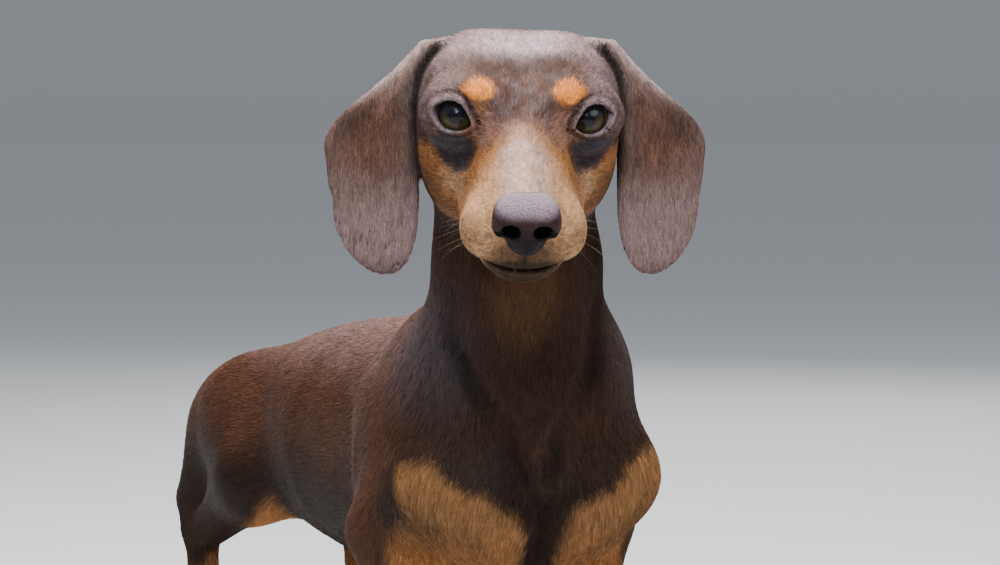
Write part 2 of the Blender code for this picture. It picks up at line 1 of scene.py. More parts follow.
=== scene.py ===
"""The looks of a smooth-coated miniature dachshund, chocolate and tan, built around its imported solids.

One skin replaces the solids of flesh. It is meshed from the same signed distance as they are, with finer
forms on the face, and lies inside them by the coat's depth. The coat is short tufts that lie along the body.
"""

import math
from contextlib import contextmanager

import bmesh
import bpy
import numpy as np
from mathutils import Matrix, Vector


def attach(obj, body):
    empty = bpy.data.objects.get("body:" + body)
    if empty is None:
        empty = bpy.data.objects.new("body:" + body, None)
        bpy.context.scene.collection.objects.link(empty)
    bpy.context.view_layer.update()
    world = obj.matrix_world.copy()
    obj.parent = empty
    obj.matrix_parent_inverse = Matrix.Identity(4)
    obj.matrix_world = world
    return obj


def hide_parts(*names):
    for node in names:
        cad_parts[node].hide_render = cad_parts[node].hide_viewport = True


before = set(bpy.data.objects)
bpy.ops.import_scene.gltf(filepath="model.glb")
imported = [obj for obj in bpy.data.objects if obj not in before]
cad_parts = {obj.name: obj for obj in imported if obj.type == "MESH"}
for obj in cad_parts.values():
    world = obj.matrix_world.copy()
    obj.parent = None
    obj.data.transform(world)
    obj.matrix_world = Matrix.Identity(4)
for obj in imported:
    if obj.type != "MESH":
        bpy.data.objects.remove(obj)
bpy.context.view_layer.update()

# Driving dimensions, the same as in the solids. The dog faces -Y and its left side is at +X
WITHERS_HEIGHT = 0.175
EYE_HEIGHT = 0.264
SKULL_HALF_WIDTH = 0.041
EYEBALL_RADIUS = 0.01
LID_RADIUS = 0.0111
FOOTPRINT_CENTRE = np.array((-0.0077, 0.1258, 0.0))
COAT_DEPTH = 0.0007

# The pose: how the head is turned, and how the spine and the stance depart from straight
HEAD_TURN = Matrix.Rotation(math.radians(-19.5), 3, "Z")
HEAD_NOD = Matrix.Rotation(math.radians(21.0), 3, "X")
HEAD_TILT = Matrix.Rotation(math.radians(1.5), 3, "Y")
HEAD_TO_DOG = np.array(HEAD_TURN @ HEAD_NOD @ HEAD_TILT)
LEVEL_TO_DOG = np.array(HEAD_TURN)
EYE_MIDPOINT = np.array((-0.03, -0.104, EYE_HEIGHT))
SPINE_BEND = 0.28
CHEST_BEND = 2.6
CHEST_BEND_FROM = -0.02
FORE_STEP = 0.006
HIND_STEP = -0.008

# The trunk, from the chest back to the buttocks: place along Y, half width, level of that width, top, bottom
TRUNK = (
    (-0.062, 0.042, 0.115, 0.146, 0.08),
    (-0.03, 0.049, 0.11, 0.168, 0.066),
    (0.0, 0.052, 0.108, WITHERS_HEIGHT, 0.058),
    (0.05, 0.0535, 0.108, WITHERS_HEIGHT, 0.055),
    (0.1, 0.0545, 0.108, 0.172, 0.057),
    (0.15, 0.052, 0.11, 0.167, 0.063),
    (0.19, 0.046, 0.112, 0.159, 0.071),
    (0.225, 0.043, 0.113, 0.148, 0.078),
    (0.262, 0.037, 0.108, 0.131, 0.083),
)
TRUNK_POWERS = (2.1, 2.3)

# Joints and landmarks of the left side, which the right side mirrors
WITHERS = (0.016, 0.02, 0.162)
SHOULDER = (0.0395, -0.035, 0.11)
ELBOW = (0.051, 0.008, 0.086)
CARPUS = (0.04, -0.004, 0.035)
HIP = (0.03, 0.22, 0.116)
BUTTOCK = (0.03, 0.254, 0.104)
STIFLE = (0.046, 0.186, 0.088)
HOCK = (0.044, 0.256, 0.052)
NECK = ((0.0, 0.004, 0.128), (-0.002, -0.026, 0.162), (-0.008, -0.044, 0.203), (-0.012, -0.047, 0.243))
NECK_RADII = (0.049, 0.0405, 0.035, 0.0325)
TAIL = (
    (0.24, 0.0, 0.126, 0.015),
    (0.28, 0.006, 0.12, 0.0108),
    (0.328, 0.028, 0.108, 0.0082),
    (0.375, 0.066, 0.1, 0.0058),
    (0.412, 0.116, 0.1, 0.0024),
)
TAIL_STEPS = 12

# The paws: place, how far the toes spread and the length. Above STEP_TOP a leg isn't moved by the stance
FORE_PAW = ((0.0435, -0.024), 0.0162, 0.028)
HIND_PAW = ((0.0455, 0.232), 0.0136, 0.026)
STEP_TOP = 0.12
HIND_FROM_Y = 0.12

# The grooves down the front of the neck, from the jaw's corners to the breastbone
STRAPS = (
    (1, ((-0.038, -0.054, 0.192), (-0.036, -0.053, 0.172), (-0.03, -0.06, 0.157), (-0.011, -0.077, 0.115))),
    (-1, ((0.025, -0.065, 0.192), (0.02, -0.067, 0.157), (0.0055, -0.081, 0.134), (-0.001, -0.087, 0.117))),
)

# Ridges of the trunk's left side, or grooves where the height is under 0: height, line and reach
TRUNK_LINES = (
    (0.001, ((0.03, 0.115, 0.155), (0.054, 0.125, 0.125), (0.05, 0.105, 0.075)), 0.007),
    (-0.0014, ((0.044, 0.16, 0.12), (0.044, 0.152, 0.09)), 0.013),
    (0.0012, ((0.028, 0.04, 0.16), (0.052, 0.026, 0.125), (0.058, 0.03, 0.098)), 0.004),
    (-0.0012, ((0.03, 0.054, 0.16), (0.054, 0.04, 0.12), (0.056, 0.04, 0.095)), 0.006),
)

# The head, measured from the point midway between the eyes, with the muzzle toward -Y
MUZZLE = (
    (-0.064, 0.015, -0.026, -0.0085, -0.037),
    (-0.05, 0.0205, -0.029, -0.005, -0.0405),
    (-0.035, 0.0235, -0.03, -0.0005, -0.041),
    (-0.015, 0.0255, -0.029, 0.0055, -0.0395),
    (0.005, 0.029, -0.026, 0.012, -0.038),
    (0.025, 0.032, -0.022, 0.014, -0.036),
)
MUZZLE_POWERS = (1.65, 2.3)
JAW = (
    (-0.059, 0.01, -0.038, -0.033, -0.0485),
    (-0.048, 0.0165, -0.038, -0.033, -0.051),
    (-0.03, 0.021, -0.038, -0.031, -0.0525),
    (-0.01, 0.024, -0.038, -0.03, -0.0535),
    (0.015, 0.028, -0.035, -0.025, -0.054),
    (0.035, 0.029, -0.032, -0.02, -0.052),
)
JAW_POWERS = (2.0, 2.1)
NOSE = (0.0, -0.062, -0.0195)
NOSE_RADII = (0.0078, 0.0088, 0.0118)
NOSE_WING = (0.0056, -0.0615, -0.0165)
NOSE_WING_RADII = (0.0076, 0.0088, 0.0085)
NOSTRIL = (0.0062, -0.0705, -0.0205)
EYE = np.array((0.0253, 0.001, 0.0))
EYE_OUTWARD = 20.0
EYE_UPWARD = 10.0
EYE_SLANT = 13.0
FISSURE_HALF = 0.0079
UPPER_LID_RISE = 0.0055
LOWER_LID_DROP = 0.0047
LID_FLARE = 0.2
LID_RAISE = 0.001
MOUTH_LINE = ((-0.07, -0.043), (-0.058, -0.0418), (-0.046, -0.038), (-0.028, -0.0335), (0.0, -0.029))
MOUTH_CORNER_Y = -0.004

# Rounded forms of the skull and cheek: centre, radii and the reach of the fillet to the rest
SKULL_FORMS = (
    ((0.021, 0.03, 0.001), (0.0185, 0.036, 0.02), 0.012),
    ((SKULL_HALF_WIDTH - 0.015, 0.026, -0.019), (0.0152, 0.027, 0.0215), 0.01),
    ((0.0235, 0.026, -0.0345), (0.014, 0.024, 0.017), 0.01),
    ((0.017, -0.001, 0.007), (0.0125, 0.0115, 0.0095), 0.01),
)
EYE_FORMS = (
    ((0.0262, 0.0045, 0.0), (0.0158, 0.0128, 0.014), 0.006),
    (EYE, (LID_RADIUS, LID_RADIUS, LID_RADIUS), 0.006),
)
TEAR_GROOVE = (-0.001, ((0.0165, -0.009, 0.004), (0.016, -0.01, -0.006), (0.021, -0.014, -0.016)), 0.003)
UNDER_EYE = (-0.0012, ((0.02, -0.01, -0.016), (0.033, -0.002, -0.015)), 0.005)
BROW_FURROW = (-0.0007, ((0.0, -0.016, 0.008), (0.0, 0.004, 0.02)), 0.005)
CHEEK_LINE = (0.0008, ((0.022, -0.016, -0.02), (0.034, 0.004, -0.018)), 0.004)

# An ear, seen from the front with the head level: level, front edge, rear edge. It ends round below these
EAR = (
    (-0.035, 0.0405, 0.078),
    (-0.02, 0.0405, 0.08),
    (-0.007, 0.041, 0.08),
    (0.002, 0.041, 0.0735),
    (0.011, 0.04, 0.0625),
    (0.02, 0.036, 0.052),
    (0.032, 0.03, 0.04),
)
EAR_TIP_LENGTH = 0.0305
EAR_LOW, EAR_TOP = EAR[0][0] - EAR_TIP_LENGTH, EAR[-1][0]
EAR_FRONT_DEPTH = 0.034
EAR_FLARE = {"left": 0.7, "right": 0.66}
EAR_HALF_THICKNESS = 0.0013
SIDES = (("left", 1), ("right", -1))

# Where the head leaves the neck, told with the head level, and where the neck and tail leave the trunk
HEAD_CUT = (np.array((0.0, 0.02, -0.062)), np.array((0.0, 0.79, -0.61)))
NECK_CUT = (np.array((0.0, -0.078, 0.14)), np.array((0.0, -0.438, 0.899)))
TAIL_CUT = (np.array((-0.016, 0.276, 0.1215)), np.array((0.0, 0.9, 0.436)))

# The skin's grid: along X, Y and Z, places on the dog and the spacing there. It is finest on the head
GRID = (
    ((-0.098, 0.0018), (0.084, 0.0018)),
    ((-0.176, 0.00155), (-0.03, 0.00155), (0.01, 0.0032), (0.428, 0.0032)),
    ((-0.006, 0.0017), (0.032, 0.0017), (0.062, 0.0031), (0.165, 0.0031), (0.205, 0.00155), (0.312, 0.00155)),
)
BLOCK = 4
SAMPLES_AT_ONCE = 200000
SKIN_CELL, FACE_CELL, LID_CELL, NOSE_CELL = 0.0015, 0.0006, 0.0003, 0.00045
NOSE_REACH = 0.018


def ramp(x, low, high):
    """0 at low, 1 at high and smooth between; low may be the larger."""
    t = np.clip((x - low) / (high - low), 0, 1)
    return t * t * (3 - 2 * t)


def bell(x, middle, width):
    """1 at the middle, falling off on both sides."""
    return np.exp(-(((x - middle) / width) ** 2))


def blend(a, b, reach):
    """Union of two distances, with a fillet that reaches this far."""
    near = np.maximum(reach - np.abs(a - b), 0.0) / reach
    return np.minimum(a, b) - near * near * reach / 4


def carve(a, b, reach):
    """What is left of a where b is taken away, with a rounded edge."""
    return -blend(-a, b, reach)


def turned(about_x, about_y, about_z):
    """A rotation from three angles in degrees, taken about X first."""
    angles = (math.radians(a) for a in (about_x, about_y, about_z))
    turns = [Matrix.Rotation(angle, 3, axis) for angle, axis in zip(angles, "XYZ")]
    return np.array(turns[2] @ turns[1] @ turns[0])


def norm(v):
    """The length of each row."""
    return np.sqrt((v**2).sum(1))


def ball(p, centre, radii):
    """Distance to an ellipsoid."""
    q = p - np.asarray(centre)
    radii = np.asarray(radii, float)
    k0, k1 = norm(q / radii), norm(q / radii**2) + 1e-9
    return k0 * (k0 - 1) / k1


def swelled(d, p, forms):
    """A form with ellipsoids blended into it: the centre, radii and reach of each."""
    for centre, radii, reach in forms:
        d = blend(d, ball(p, centre, radii), reach)
    return d


def limb(p, start, end, r_start, r_end, squeeze=1.0):
    """Distance to a tapered limb with round ends. A squeeze under 1 flattens it across X."""
    scale = np.array((1 / squeeze, 1.0, 1.0))
    a, q = np.asarray(start) * scale, p * scale
    reach = np.asarray(end) * scale - a
    along = np.clip((q - a) @ reach / (reach @ reach), 0, 1)
    return (norm(q - a - along[:, None] * reach) - r_start - along * (r_end - r_start)) * squeeze**0.5


def chain(p, points, radii, reach):
    """Limbs end to end."""
    made = limb(p, points[0], points[1], radii[0], radii[1])
    for i in range(1, len(points) - 1):
        made = blend(made, limb(p, points[i], points[i + 1], radii[i], radii[i + 1]), reach)
    return made


def curve(stations, at):
    """The stations' other columns, read at these places along the first, on a smooth cubic through them."""
    table = np.asarray(stations, float)
    x, y = table[:, 0], table[:, 1:]
    slope = np.gradient(y, x, axis=0)
    at = np.clip(at, x[0], x[-1])
    i = np.clip(np.searchsorted(x, at) - 1, 0, len(x) - 2)
    span = (x[i + 1] - x[i])[:, None]
    t = (at - x[i])[:, None] / span
    start = y[i] * (1 + 2 * t) * (1 - t) ** 2 + slope[i] * span * t * (1 - t) ** 2
    end = y[i + 1] * t * t * (3 - 2 * t) + slope[i + 1] * span * t * t * (t - 1)
    return (start + end).T


def loft(p, stations, powers, end_round):
    """Distance to a form lofted along Y. The powers shape its section above and below its widest level."""
    width, level, top, bottom = curve(stations, p[:, 1])
    rise = p[:, 2] - level
    height = np.where(rise > 0, top - level, level - bottom)
    power = np.where(rise > 0, *powers)
    share = ((np.abs(p[:, 0]) / width) ** power + (np.abs(rise) / height) ** power) ** (1 / power)
    out = np.hypot(p[:, 0], rise)
    side = np.where(share > 1e-6, out - out / np.maximum(share, 1e-6), -np.minimum(width, height))
    first, last = stations[0][0], stations[-1][0]
    ends = np.abs(p[:, 1] - (first + last) / 2) - (last - first) / 2
    return -blend(-side, -ends, end_round)


def bent(p):
    """Points of the bent spine, moved back to a straight one. The chest leans the way the head turns."""
    q = p.copy()
    q[:, 0] += SPINE_BEND * np.maximum(p[:, 1], 0.0) ** 2
    q[:, 0] += CHEST_BEND * np.minimum(p[:, 1] - CHEST_BEND_FROM, 0.0) ** 2
    return q


def folded(p):
    """Points of the right side moved to the left."""
    return np.column_stack([np.sqrt(p[:, 0] ** 2 + 1e-8), p[:, 1:]])


def stepped(m, p):
    """The legs of each side swung a little from the shoulder and hip, as a standing dog sets them."""
    q = m.copy()
    step = np.where(p[:, 1] < HIND_FROM_Y, FORE_STEP, HIND_STEP)
    q[:, 1] += np.sign(p[:, 0]) * step * (1 - np.clip(p[:, 2] / STEP_TOP, 0, 1))
    return q


def trunk(q, m):
    """The rib cage, loin and croup, with the chest and rump muscles."""
    d = loft(q, TRUNK, TRUNK_POWERS, 0.06)
    d = swelled(d, m, (
        ((0.021, -0.048, 0.102), (0.024, 0.026, 0.028), 0.014),
        ((0.027, -0.034, 0.143), (0.018, 0.022, 0.026), 0.016),
    ))
    d = swelled(d, q, (
        ((0.0, -0.073, 0.122), (0.011, 0.012, 0.016), 0.016),
        ((0.0, -0.014, 0.067), (0.014, 0.036, 0.01), 0.018),
    ))
    return swelled(d, m, (((0.024, 0.246, 0.108), (0.022, 0.022, 0.031), 0.012),))


def foreleg(m):
    """Shoulder blade, upper arm, forearm and wrist of one side."""
    d = limb(m, WITHERS, SHOULDER, 0.017, 0.021)
    d = blend(d, limb(m, SHOULDER, ELBOW, 0.021, 0.0135), 0.008)
    d = blend(d, ball(m, (0.053, 0.014, 0.0865), (0.007, 0.01, 0.011)), 0.008)
    d = blend(d, limb(m, (0.049, 0.004, 0.082), CARPUS, 0.015, 0.0098), 0.01)
    return blend(d, limb(m, CARPUS, (0.0425, -0.016, 0.017), 0.0105, 0.011), 0.006)


def hindleg(m):
    """Thigh, second thigh, hock and the bone below it, of one side."""
    d = limb(m, HIP, STIFLE, 0.029, 0.02, 0.74)
    d = blend(d, ball(m, (0.038, 0.212, 0.102), (0.016, 0.031, 0.028)), 0.01)
    d = blend(d, limb(m, BUTTOCK, (0.04, 0.264, 0.07), 0.019, 0.015, 0.8), 0.012)
    d = blend(d, limb(m, STIFLE, HOCK, 0.019, 0.0085, 0.8), 0.012)
    d = blend(d, limb(m, HOCK, (0.045, 0.25, 0.02), 0.009, 0.0092, 0.85), 0.005)
    return blend(d, ball(m, (0.044, 0.2635, 0.056), (0.0055, 0.0065, 0.008)), 0.006)


def toe_ends(place, spread, length):
    """The knuckle and tip of each of a paw's four toes."""
    x, y = place
    for side in (-1.5, -0.5, 0.5, 1.5):
        ahead = length * (0.52 if abs(side) < 1 else 0.28)
        yield (x + side * spread * 0.36, y + 0.001, 0.0095), (x + side * spread * 0.46, y - ahead, 0.0045)


def paw(m, place, spread, length):
    """One paw: its pad and four toes set in an arc, a little into the floor, where it is cut flat."""
    d = ball(m, (place[0], place[1] + 0.006, 0.0092), (spread * 0.92, length * 0.62, 0.0104))
    for knuckle, tip in toe_ends(place, spread, length):
        d = blend(d, limb(m, knuckle, tip, 0.0058, 0.0052), 0.0022)
    return d


def tail(q):
    """The tail, carried low and swept to the left."""
    along = np.linspace(TAIL[0][0], TAIL[-1][0], TAIL_STEPS)
    across, level, radius = curve(TAIL, along)
    return chain(q, np.column_stack([across, along, level]), radius, 0.0004)


def near_line(p, points, reach):
    """1 on a line through these points, falling to nothing about this far from it."""
    return bell(chain(p, points, [0.0] * len(points), 0.0001), 0.0, reach)


def lined(d, p, *lines):
    """A form with ridges along lines, or grooves where the height is under 0."""
    for height, points, reach in lines:
        d = d - height * near_line(p, points, reach)
    return d


def body(p):
    """Trunk, neck, legs, paws and tail."""
    q = bent(p)
    m = folded(q)
    legs = stepped(m, q)
    d = blend(trunk(q, m), foreleg(legs), 0.012)
    d = blend(d, hindleg(legs), 0.02)
    d = blend(d, np.minimum(paw(legs, *FORE_PAW), paw(legs, *HIND_PAW)), 0.006)
    d = blend(d, chain(p, NECK, NECK_RADII, 0.006), 0.03)
    # The rib cage's edge, the flank's hollow, the fold behind the shoulder and the straps down the neck
    d = lined(blend(d, tail(q), 0.012), m, *TRUNK_LINES)
    for inward, strap in STRAPS:
        d = lined(d, q, (-0.0026, strap, 0.005))
        d = lined(d, q - (0.006 * inward, -0.002, 0.002), (0.0012, strap, 0.0045))
    return d


def from_head(p):
    """Places on the dog, told in the head's own directions."""
    return (p - EYE_MIDPOINT) @ HEAD_TO_DOG


def to_dog(h):
    """Places told in the head's own directions, set on the dog."""
    return EYE_MIDPOINT + np.asarray(h) @ HEAD_TO_DOG.T


EYE_TURN = turned(0, 0, EYE_OUTWARD) @ turned(-EYE_UPWARD, 0, 0) @ turned(0, -EYE_SLANT, 0)


def lid_edge(m):
    """Distance in front of the eye to the almond between the lids, and how far a place is above the eye."""
    q = (m - EYE) @ EYE_TURN
    arcs = []
    for rise, sign in ((UPPER_LID_RISE, 1), (LOWER_LID_DROP, -1)):
        radius = (FISSURE_HALF**2 + rise**2) / (2 * rise)
        arcs.append(np.hypot(q[:, 0], q[:, 2] - LID_RAISE + sign * (radius - rise)) - radius)
    flare = LID_FLARE * np.maximum(norm(q) - EYEBALL_RADIUS, 0)
    return np.maximum(*arcs) - flare * ramp(q[:, 0], -0.007, -0.001), q


def lids(d, m):
    """The face with the eye's opening cut, the fold over the upper lid and the rims of both."""
    edge, q = lid_edge(m)
    off = norm(m - EYE)
    near = ramp(off, 0.02, 0.015) * ramp(-q[:, 1], 0.0, 0.004)
    upper = ramp(q[:, 2], -0.002, 0.003)
    inner = 0.35 + 1.1 * ramp(q[:, 0], 0.004, -0.005)
    d = d + 0.001 * inner * near * upper * bell(edge, 0.0034, 0.0008)
    d += 0.0004 * near * (1 - upper) * bell(edge, 0.0026, 0.0007)
    d -= 0.0004 * near * bell(edge, 0.0013, 0.0008)
    return carve(d, np.maximum(np.maximum(edge, q[:, 1]), 0.008 - off), 0.0007)


def nostril(m):
    """The opening of a nostril, with its slit curling out to the side."""
    slit = limb(m, (0.007, -0.0712, -0.0212), (0.0126, -0.0655, -0.0222), 0.0013, 0.0009)
    return blend(ball(m, NOSTRIL, (0.0036, 0.008, 0.0029)), slit, 0.0015)


def nose_form(h, m):
    """The nose before its openings are cut, broad on top and narrow below."""
    d = blend(ball(h, NOSE, NOSE_RADII), ball(m, NOSE_WING, NOSE_WING_RADII), 0.003)
    d = blend(d, ball(m, (0.01, -0.064, -0.0195), (0.0034, 0.005, 0.005)), 0.002)
    return blend(d, ball(h, (0.0, -0.065, -0.0262), (0.0064, 0.0052, 0.0048)), 0.004)


def head(p):
    """Skull, cheeks, muzzle, lips, jaw and lids."""
    h = from_head(p)
    m = folded(h)
    d = swelled(ball(m, (0.0, 0.034, -0.004), (SKULL_HALF_WIDTH - 0.004, 0.045, 0.0255)), m, SKULL_FORMS)
    d = blend(d, loft(h, MUZZLE, MUZZLE_POWERS, 0.01), 0.012)
    d = swelled(d, m, (((0.014, -0.046, -0.028), (0.011, 0.017, 0.011), 0.006),))
    d = swelled(blend(d, loft(h, JAW, JAW_POWERS, 0.01), 0.004), m, EYE_FORMS)
    d = carve(blend(d, nose_form(h, m) + 0.0006, 0.003), nostril(m), 0.0008)
    d = lined(lined(lined(d, m, TEAR_GROOVE, UNDER_EYE), h, BROW_FURROW), m, CHEEK_LINE)
    # The whisker pad, the lips and the line of the mouth
    y, z = m[:, 1], m[:, 2]
    line = curve(MOUTH_LINE, y)[0]
    mouth = ramp(y, MOUTH_CORNER_Y + 0.004, MOUTH_CORNER_Y - 0.004)
    d -= 0.0008 * mouth * bell(z - line, 0.004, 0.0028)
    d += 0.0004 * mouth * ramp(z, line + 0.0006, line - 0.0012) * ramp(z, line - 0.012, line - 0.004)
    groove = np.maximum(np.abs(z - line) - 0.0004, -(d + 0.003))
    d = carve(d, np.maximum(groove, y - MOUTH_CORNER_Y), 0.0014)
    d = carve(d, limb(h, (0, -0.0735, -0.023), (0, -0.066, -0.038), 0.0006, 0.0006), 0.0016)
    return lids(d, m)


def nose_pad(p):
    """The bare nose: broad on top, with a comma of a nostril on each side and a groove down its middle."""
    h = from_head(p)
    m = folded(h)
    d = nose_form(h, m)
    d = carve(d, limb(h, (0, -0.0735, -0.0215), (0, -0.067, -0.034), 0.0004, 0.0004), 0.0014)
    d = carve(d, nostril(m), 0.001)
    back = h[:, 1] + 0.056 + 0.3 * (h[:, 2] + 0.0195) * (h[:, 2] < -0.0195)
    return np.maximum(d, back)


def ear_edge(across, level):
    """Distance in the plane of an ear to its outline, and where a place lies between its two edges."""
    front, rear = curve(EAR, level)
    past = np.clip((EAR[0][0] - level) / EAR_TIP_LENGTH, 0, 1)
    half = np.maximum((rear - front) / 2 * np.sqrt(1 - past**2), 1e-5)
    middle = (front + rear) / 2 - 0.004 * past**2
    return np.abs(across - middle) - half, (across - middle) / ((rear - front) / 2)


def from_ear(p, side):
    """Places on the dog, told from between the eyes with the head level, the ear's side toward +X."""
    q = (p - EYE_MIDPOINT) @ LEVEL_TO_DOG
    q[:, 0] *= 1 if side == "left" else -1
    return q


def ear_sheet(q, side):
    """How far back the middle of an ear's flap is, where it lies between its edges, and how far up it is."""
    edge, across = ear_edge(q[:, 0], q[:, 2])
    height = (q[:, 2] - EAR_LOW) / (EAR_TOP - EAR_LOW)
    sheet = EAR_FRONT_DEPTH + EAR_FLARE[side] * (q[:, 0] - EAR[0][1])
    sheet += 0.0045 * np.minimum(across**2, 1.5) - 0.006 * (1 - height) ** 2
    sheet -= 0.003 * bell(across, -0.15, 0.25) * height
    sheet += 0.003 * np.exp(-(((across - 0.45) / 0.35) ** 2) - ((height - 0.62) / 0.16) ** 2)
    return sheet, edge, across, height


def ear(p, side):
    """One ear: a thin flap hung from the side of the skull, its front edge at the cheek, its rear flared."""
    q = from_ear(p, side)
    x, y, z = q.T
    sheet, edge, across, height = ear_sheet(q, side)
    step = 0.0005
    slope = (ear_edge(x, z + step)[0] - ear_edge(x, z - step)[0]) / (2 * step)
    edge = edge / np.hypot(1, np.clip(slope, -4, 4))
    sheet -= 0.0009 * bell(across, -0.8, 0.12) * ramp(height, 0.2, 0.6)
    lean = math.hypot(1, EAR_FLARE[side])
    flat = np.abs(y - sheet) / lean - EAR_HALF_THICKNESS - 0.0014 * np.clip(height, 0, 1)
    ends = np.maximum(EAR_LOW - z, z - EAR_TOP)
    flap = -blend(-flat, -np.maximum(edge, ends), 0.0024)
    root = limb(q, (0.03, 0.036, 0.023), (0.044, 0.037, 0.01), 0.007, 0.0035)
    return blend(flap, root, 0.01)


def near_only(p, centre, radius, field):
    """A field worked out only near its own form; far from it a ball stands for it."""
    d = norm(p - centre) - radius
    near = d < 0.02
    d[near] = field(p[near])
    return d


HEAD_CENTRE = to_dog((0.0, 0.01, -0.014))
EAR_CENTRE = np.array((0.062, 0.04, -0.015))
EAR_REACH = 0.066


def ears(p):
    return np.minimum(*[
        near_only(p, to_dog(EAR_CENTRE * (sign, 1, 1)), EAR_REACH, lambda k, side=side: ear(k, side))
        for side, sign in SIDES
    ])


def flesh(p):
    """The dog's field but for its ears."""
    return blend(near_only(p, HEAD_CENTRE, 0.1, head), body(p), 0.014)


def skin(p):
    """The whole dog inside its coat, cut flat at the floor."""
    d = blend(flesh(p) + COAT_DEPTH, ears(p) + 0.7 * COAT_DEPTH, 0.0025)
    return carve(d, p[:, 2] - 0.0002, 0.0015)


def spaced(table):
    """Places along one axis, a whole number of blocks, with the spacing that the table gives there."""
    at, step = zip(*table)
    places = [at[0]]
    while places[-1] < at[-1] or (len(places) - 1) % BLOCK:
        places.append(places[-1] + float(np.interp(places[-1], at, step)))
    return np.array(places)


def sampled(field, axes):
    """A field on a grid: read at the corners of blocks, and everywhere in the blocks near its surface."""
    corners = [axis[::BLOCK] for axis in axes]
    grid = np.stack(np.meshgrid(*corners, indexing="ij"), -1)
    coarse = field(grid.reshape(-1, 3)).reshape(grid.shape[:-1])
    value = coarse
    for axis in range(3):
        value = value.repeat(BLOCK, axis)
    value = value[tuple(slice(0, len(axis)) for axis in axes)].copy()
    least = np.full([n - 1 for n in coarse.shape], np.inf)
    for i, j, k in np.ndindex(2, 2, 2):
        part = coarse[i : i + least.shape[0], j : j + least.shape[1], k : k + least.shape[2]]
        least = np.minimum(least, np.abs(part))
    spans = np.meshgrid(*[np.diff(c) for c in corners], indexing="ij")
    blocks = np.argwhere(least < 0.7 * np.sqrt(sum(span**2 for span in spans)))
    within = np.stack(np.meshgrid(*[np.arange(BLOCK)] * 3, indexing="ij"), -1).reshape(-1, 3)
    index = (blocks[:, None, :] * BLOCK + within).reshape(-1, 3)
    places = np.column_stack([axis[index[:, k]] for k, axis in enumerate(axes)])
    for first in range(0, len(index), SAMPLES_AT_ONCE):
        part = slice(first, first + SAMPLES_AT_ONCE)
        value[tuple(index[part].T)] = field(places[part])
    return value


def meshed(field, axes):
    """Corners and quads over the zero level of a field, with one corner in each cell that it crosses."""
    value = sampled(field, axes)
    inside = value < 0
    size = np.array(value.shape)
    stride = np.array((size[1] * size[2], size[2], 1))
    places, quads = [], []
    for axis in range(3):
        near, far = [slice(None)] * 3, [slice(None)] * 3
        near[axis], far[axis] = slice(0, -1), slice(1, None)
        at = np.argwhere(inside[tuple(near)] != inside[tuple(far)])
        ahead = at.copy()
        ahead[:, axis] += 1
        v0, v1 = value[tuple(at.T)], value[tuple(ahead.T)]
        place = at.astype(float)
        place[:, axis] += v0 / (v0 - v1)
        others = [k for k in range(3) if k != axis]
        around = []
        for back in ((1, 1), (0, 1), (0, 0), (1, 0)):
            cell = at.copy()
            cell[:, others] -= back
            around.append(cell @ stride)
        quad = np.column_stack(around)
        flip = (v0 < 0) if axis == 1 else (v0 >= 0)
        quad[flip] = quad[flip][:, ::-1]
        quads.append(quad)
        places.append(np.repeat(place, 4, axis=0))
    places = np.vstack(places)
    corner = np.unique(np.vstack(quads), return_inverse=True)[1].reshape(-1)
    count = np.bincount(corner)
    middle = [np.bincount(corner, places[:, k]) / count for k in range(3)]
    points = [np.interp(middle[k], np.arange(size[k]), axes[k]) for k in range(3)]
    return np.column_stack(points), corner.reshape(-1, 4)


def settled(field, points, cell, rounds=2, step=0.00005):
    """Mesh corners slid onto the zero level of a field, by no more than part of a cell at a time."""
    for _ in range(rounds):
        ahead, back = ([field(points + d) for d in sign * step * np.eye(3)] for sign in (1, -1))
        slope = np.column_stack([a - b for a, b in zip(ahead, back)]) / (2 * step)
        move = field(points)[:, None] * slope / np.maximum((slope**2).sum(1), 0.2)[:, None]
        points = points - np.clip(move, -0.4 * cell, 0.4 * cell)
    return points


# Colours of the coat and skin, linear
CHOCOLATE = (0.072, 0.028, 0.014)
DARK_CHOCOLATE = (0.015, 0.009, 0.006)
# LILAC is the coat's own lilac, and is also laid on as painted sheen on the upper head and back
LILAC = (0.335, 0.232, 0.225)
RED_BROWN = (0.15, 0.062, 0.034)
INNER_BROWN = (0.33, 0.165, 0.115)
TAN = (0.4, 0.165, 0.055)
CHEST_TAN = (0.25, 0.115, 0.042)
PALE_TAN = (0.6, 0.335, 0.175)
ORANGE = (0.7, 0.23, 0.04)
BRIDGE = (0.395, 0.28, 0.25)
UNDER_EYE_DARK = (0.04, 0.031, 0.04)
LID_RIM = (0.34, 0.245, 0.25)
LIVER = (0.042, 0.017, 0.015)
DARK_SKIN = (0.014, 0.008, 0.007)
INNER_EAR = (0.21, 0.12, 0.1)
HORN = (0.045, 0.028, 0.02)
WHISKER = (0.34, 0.28, 0.23)
PALE_FLOOR = (0.62, 0.63, 0.62)
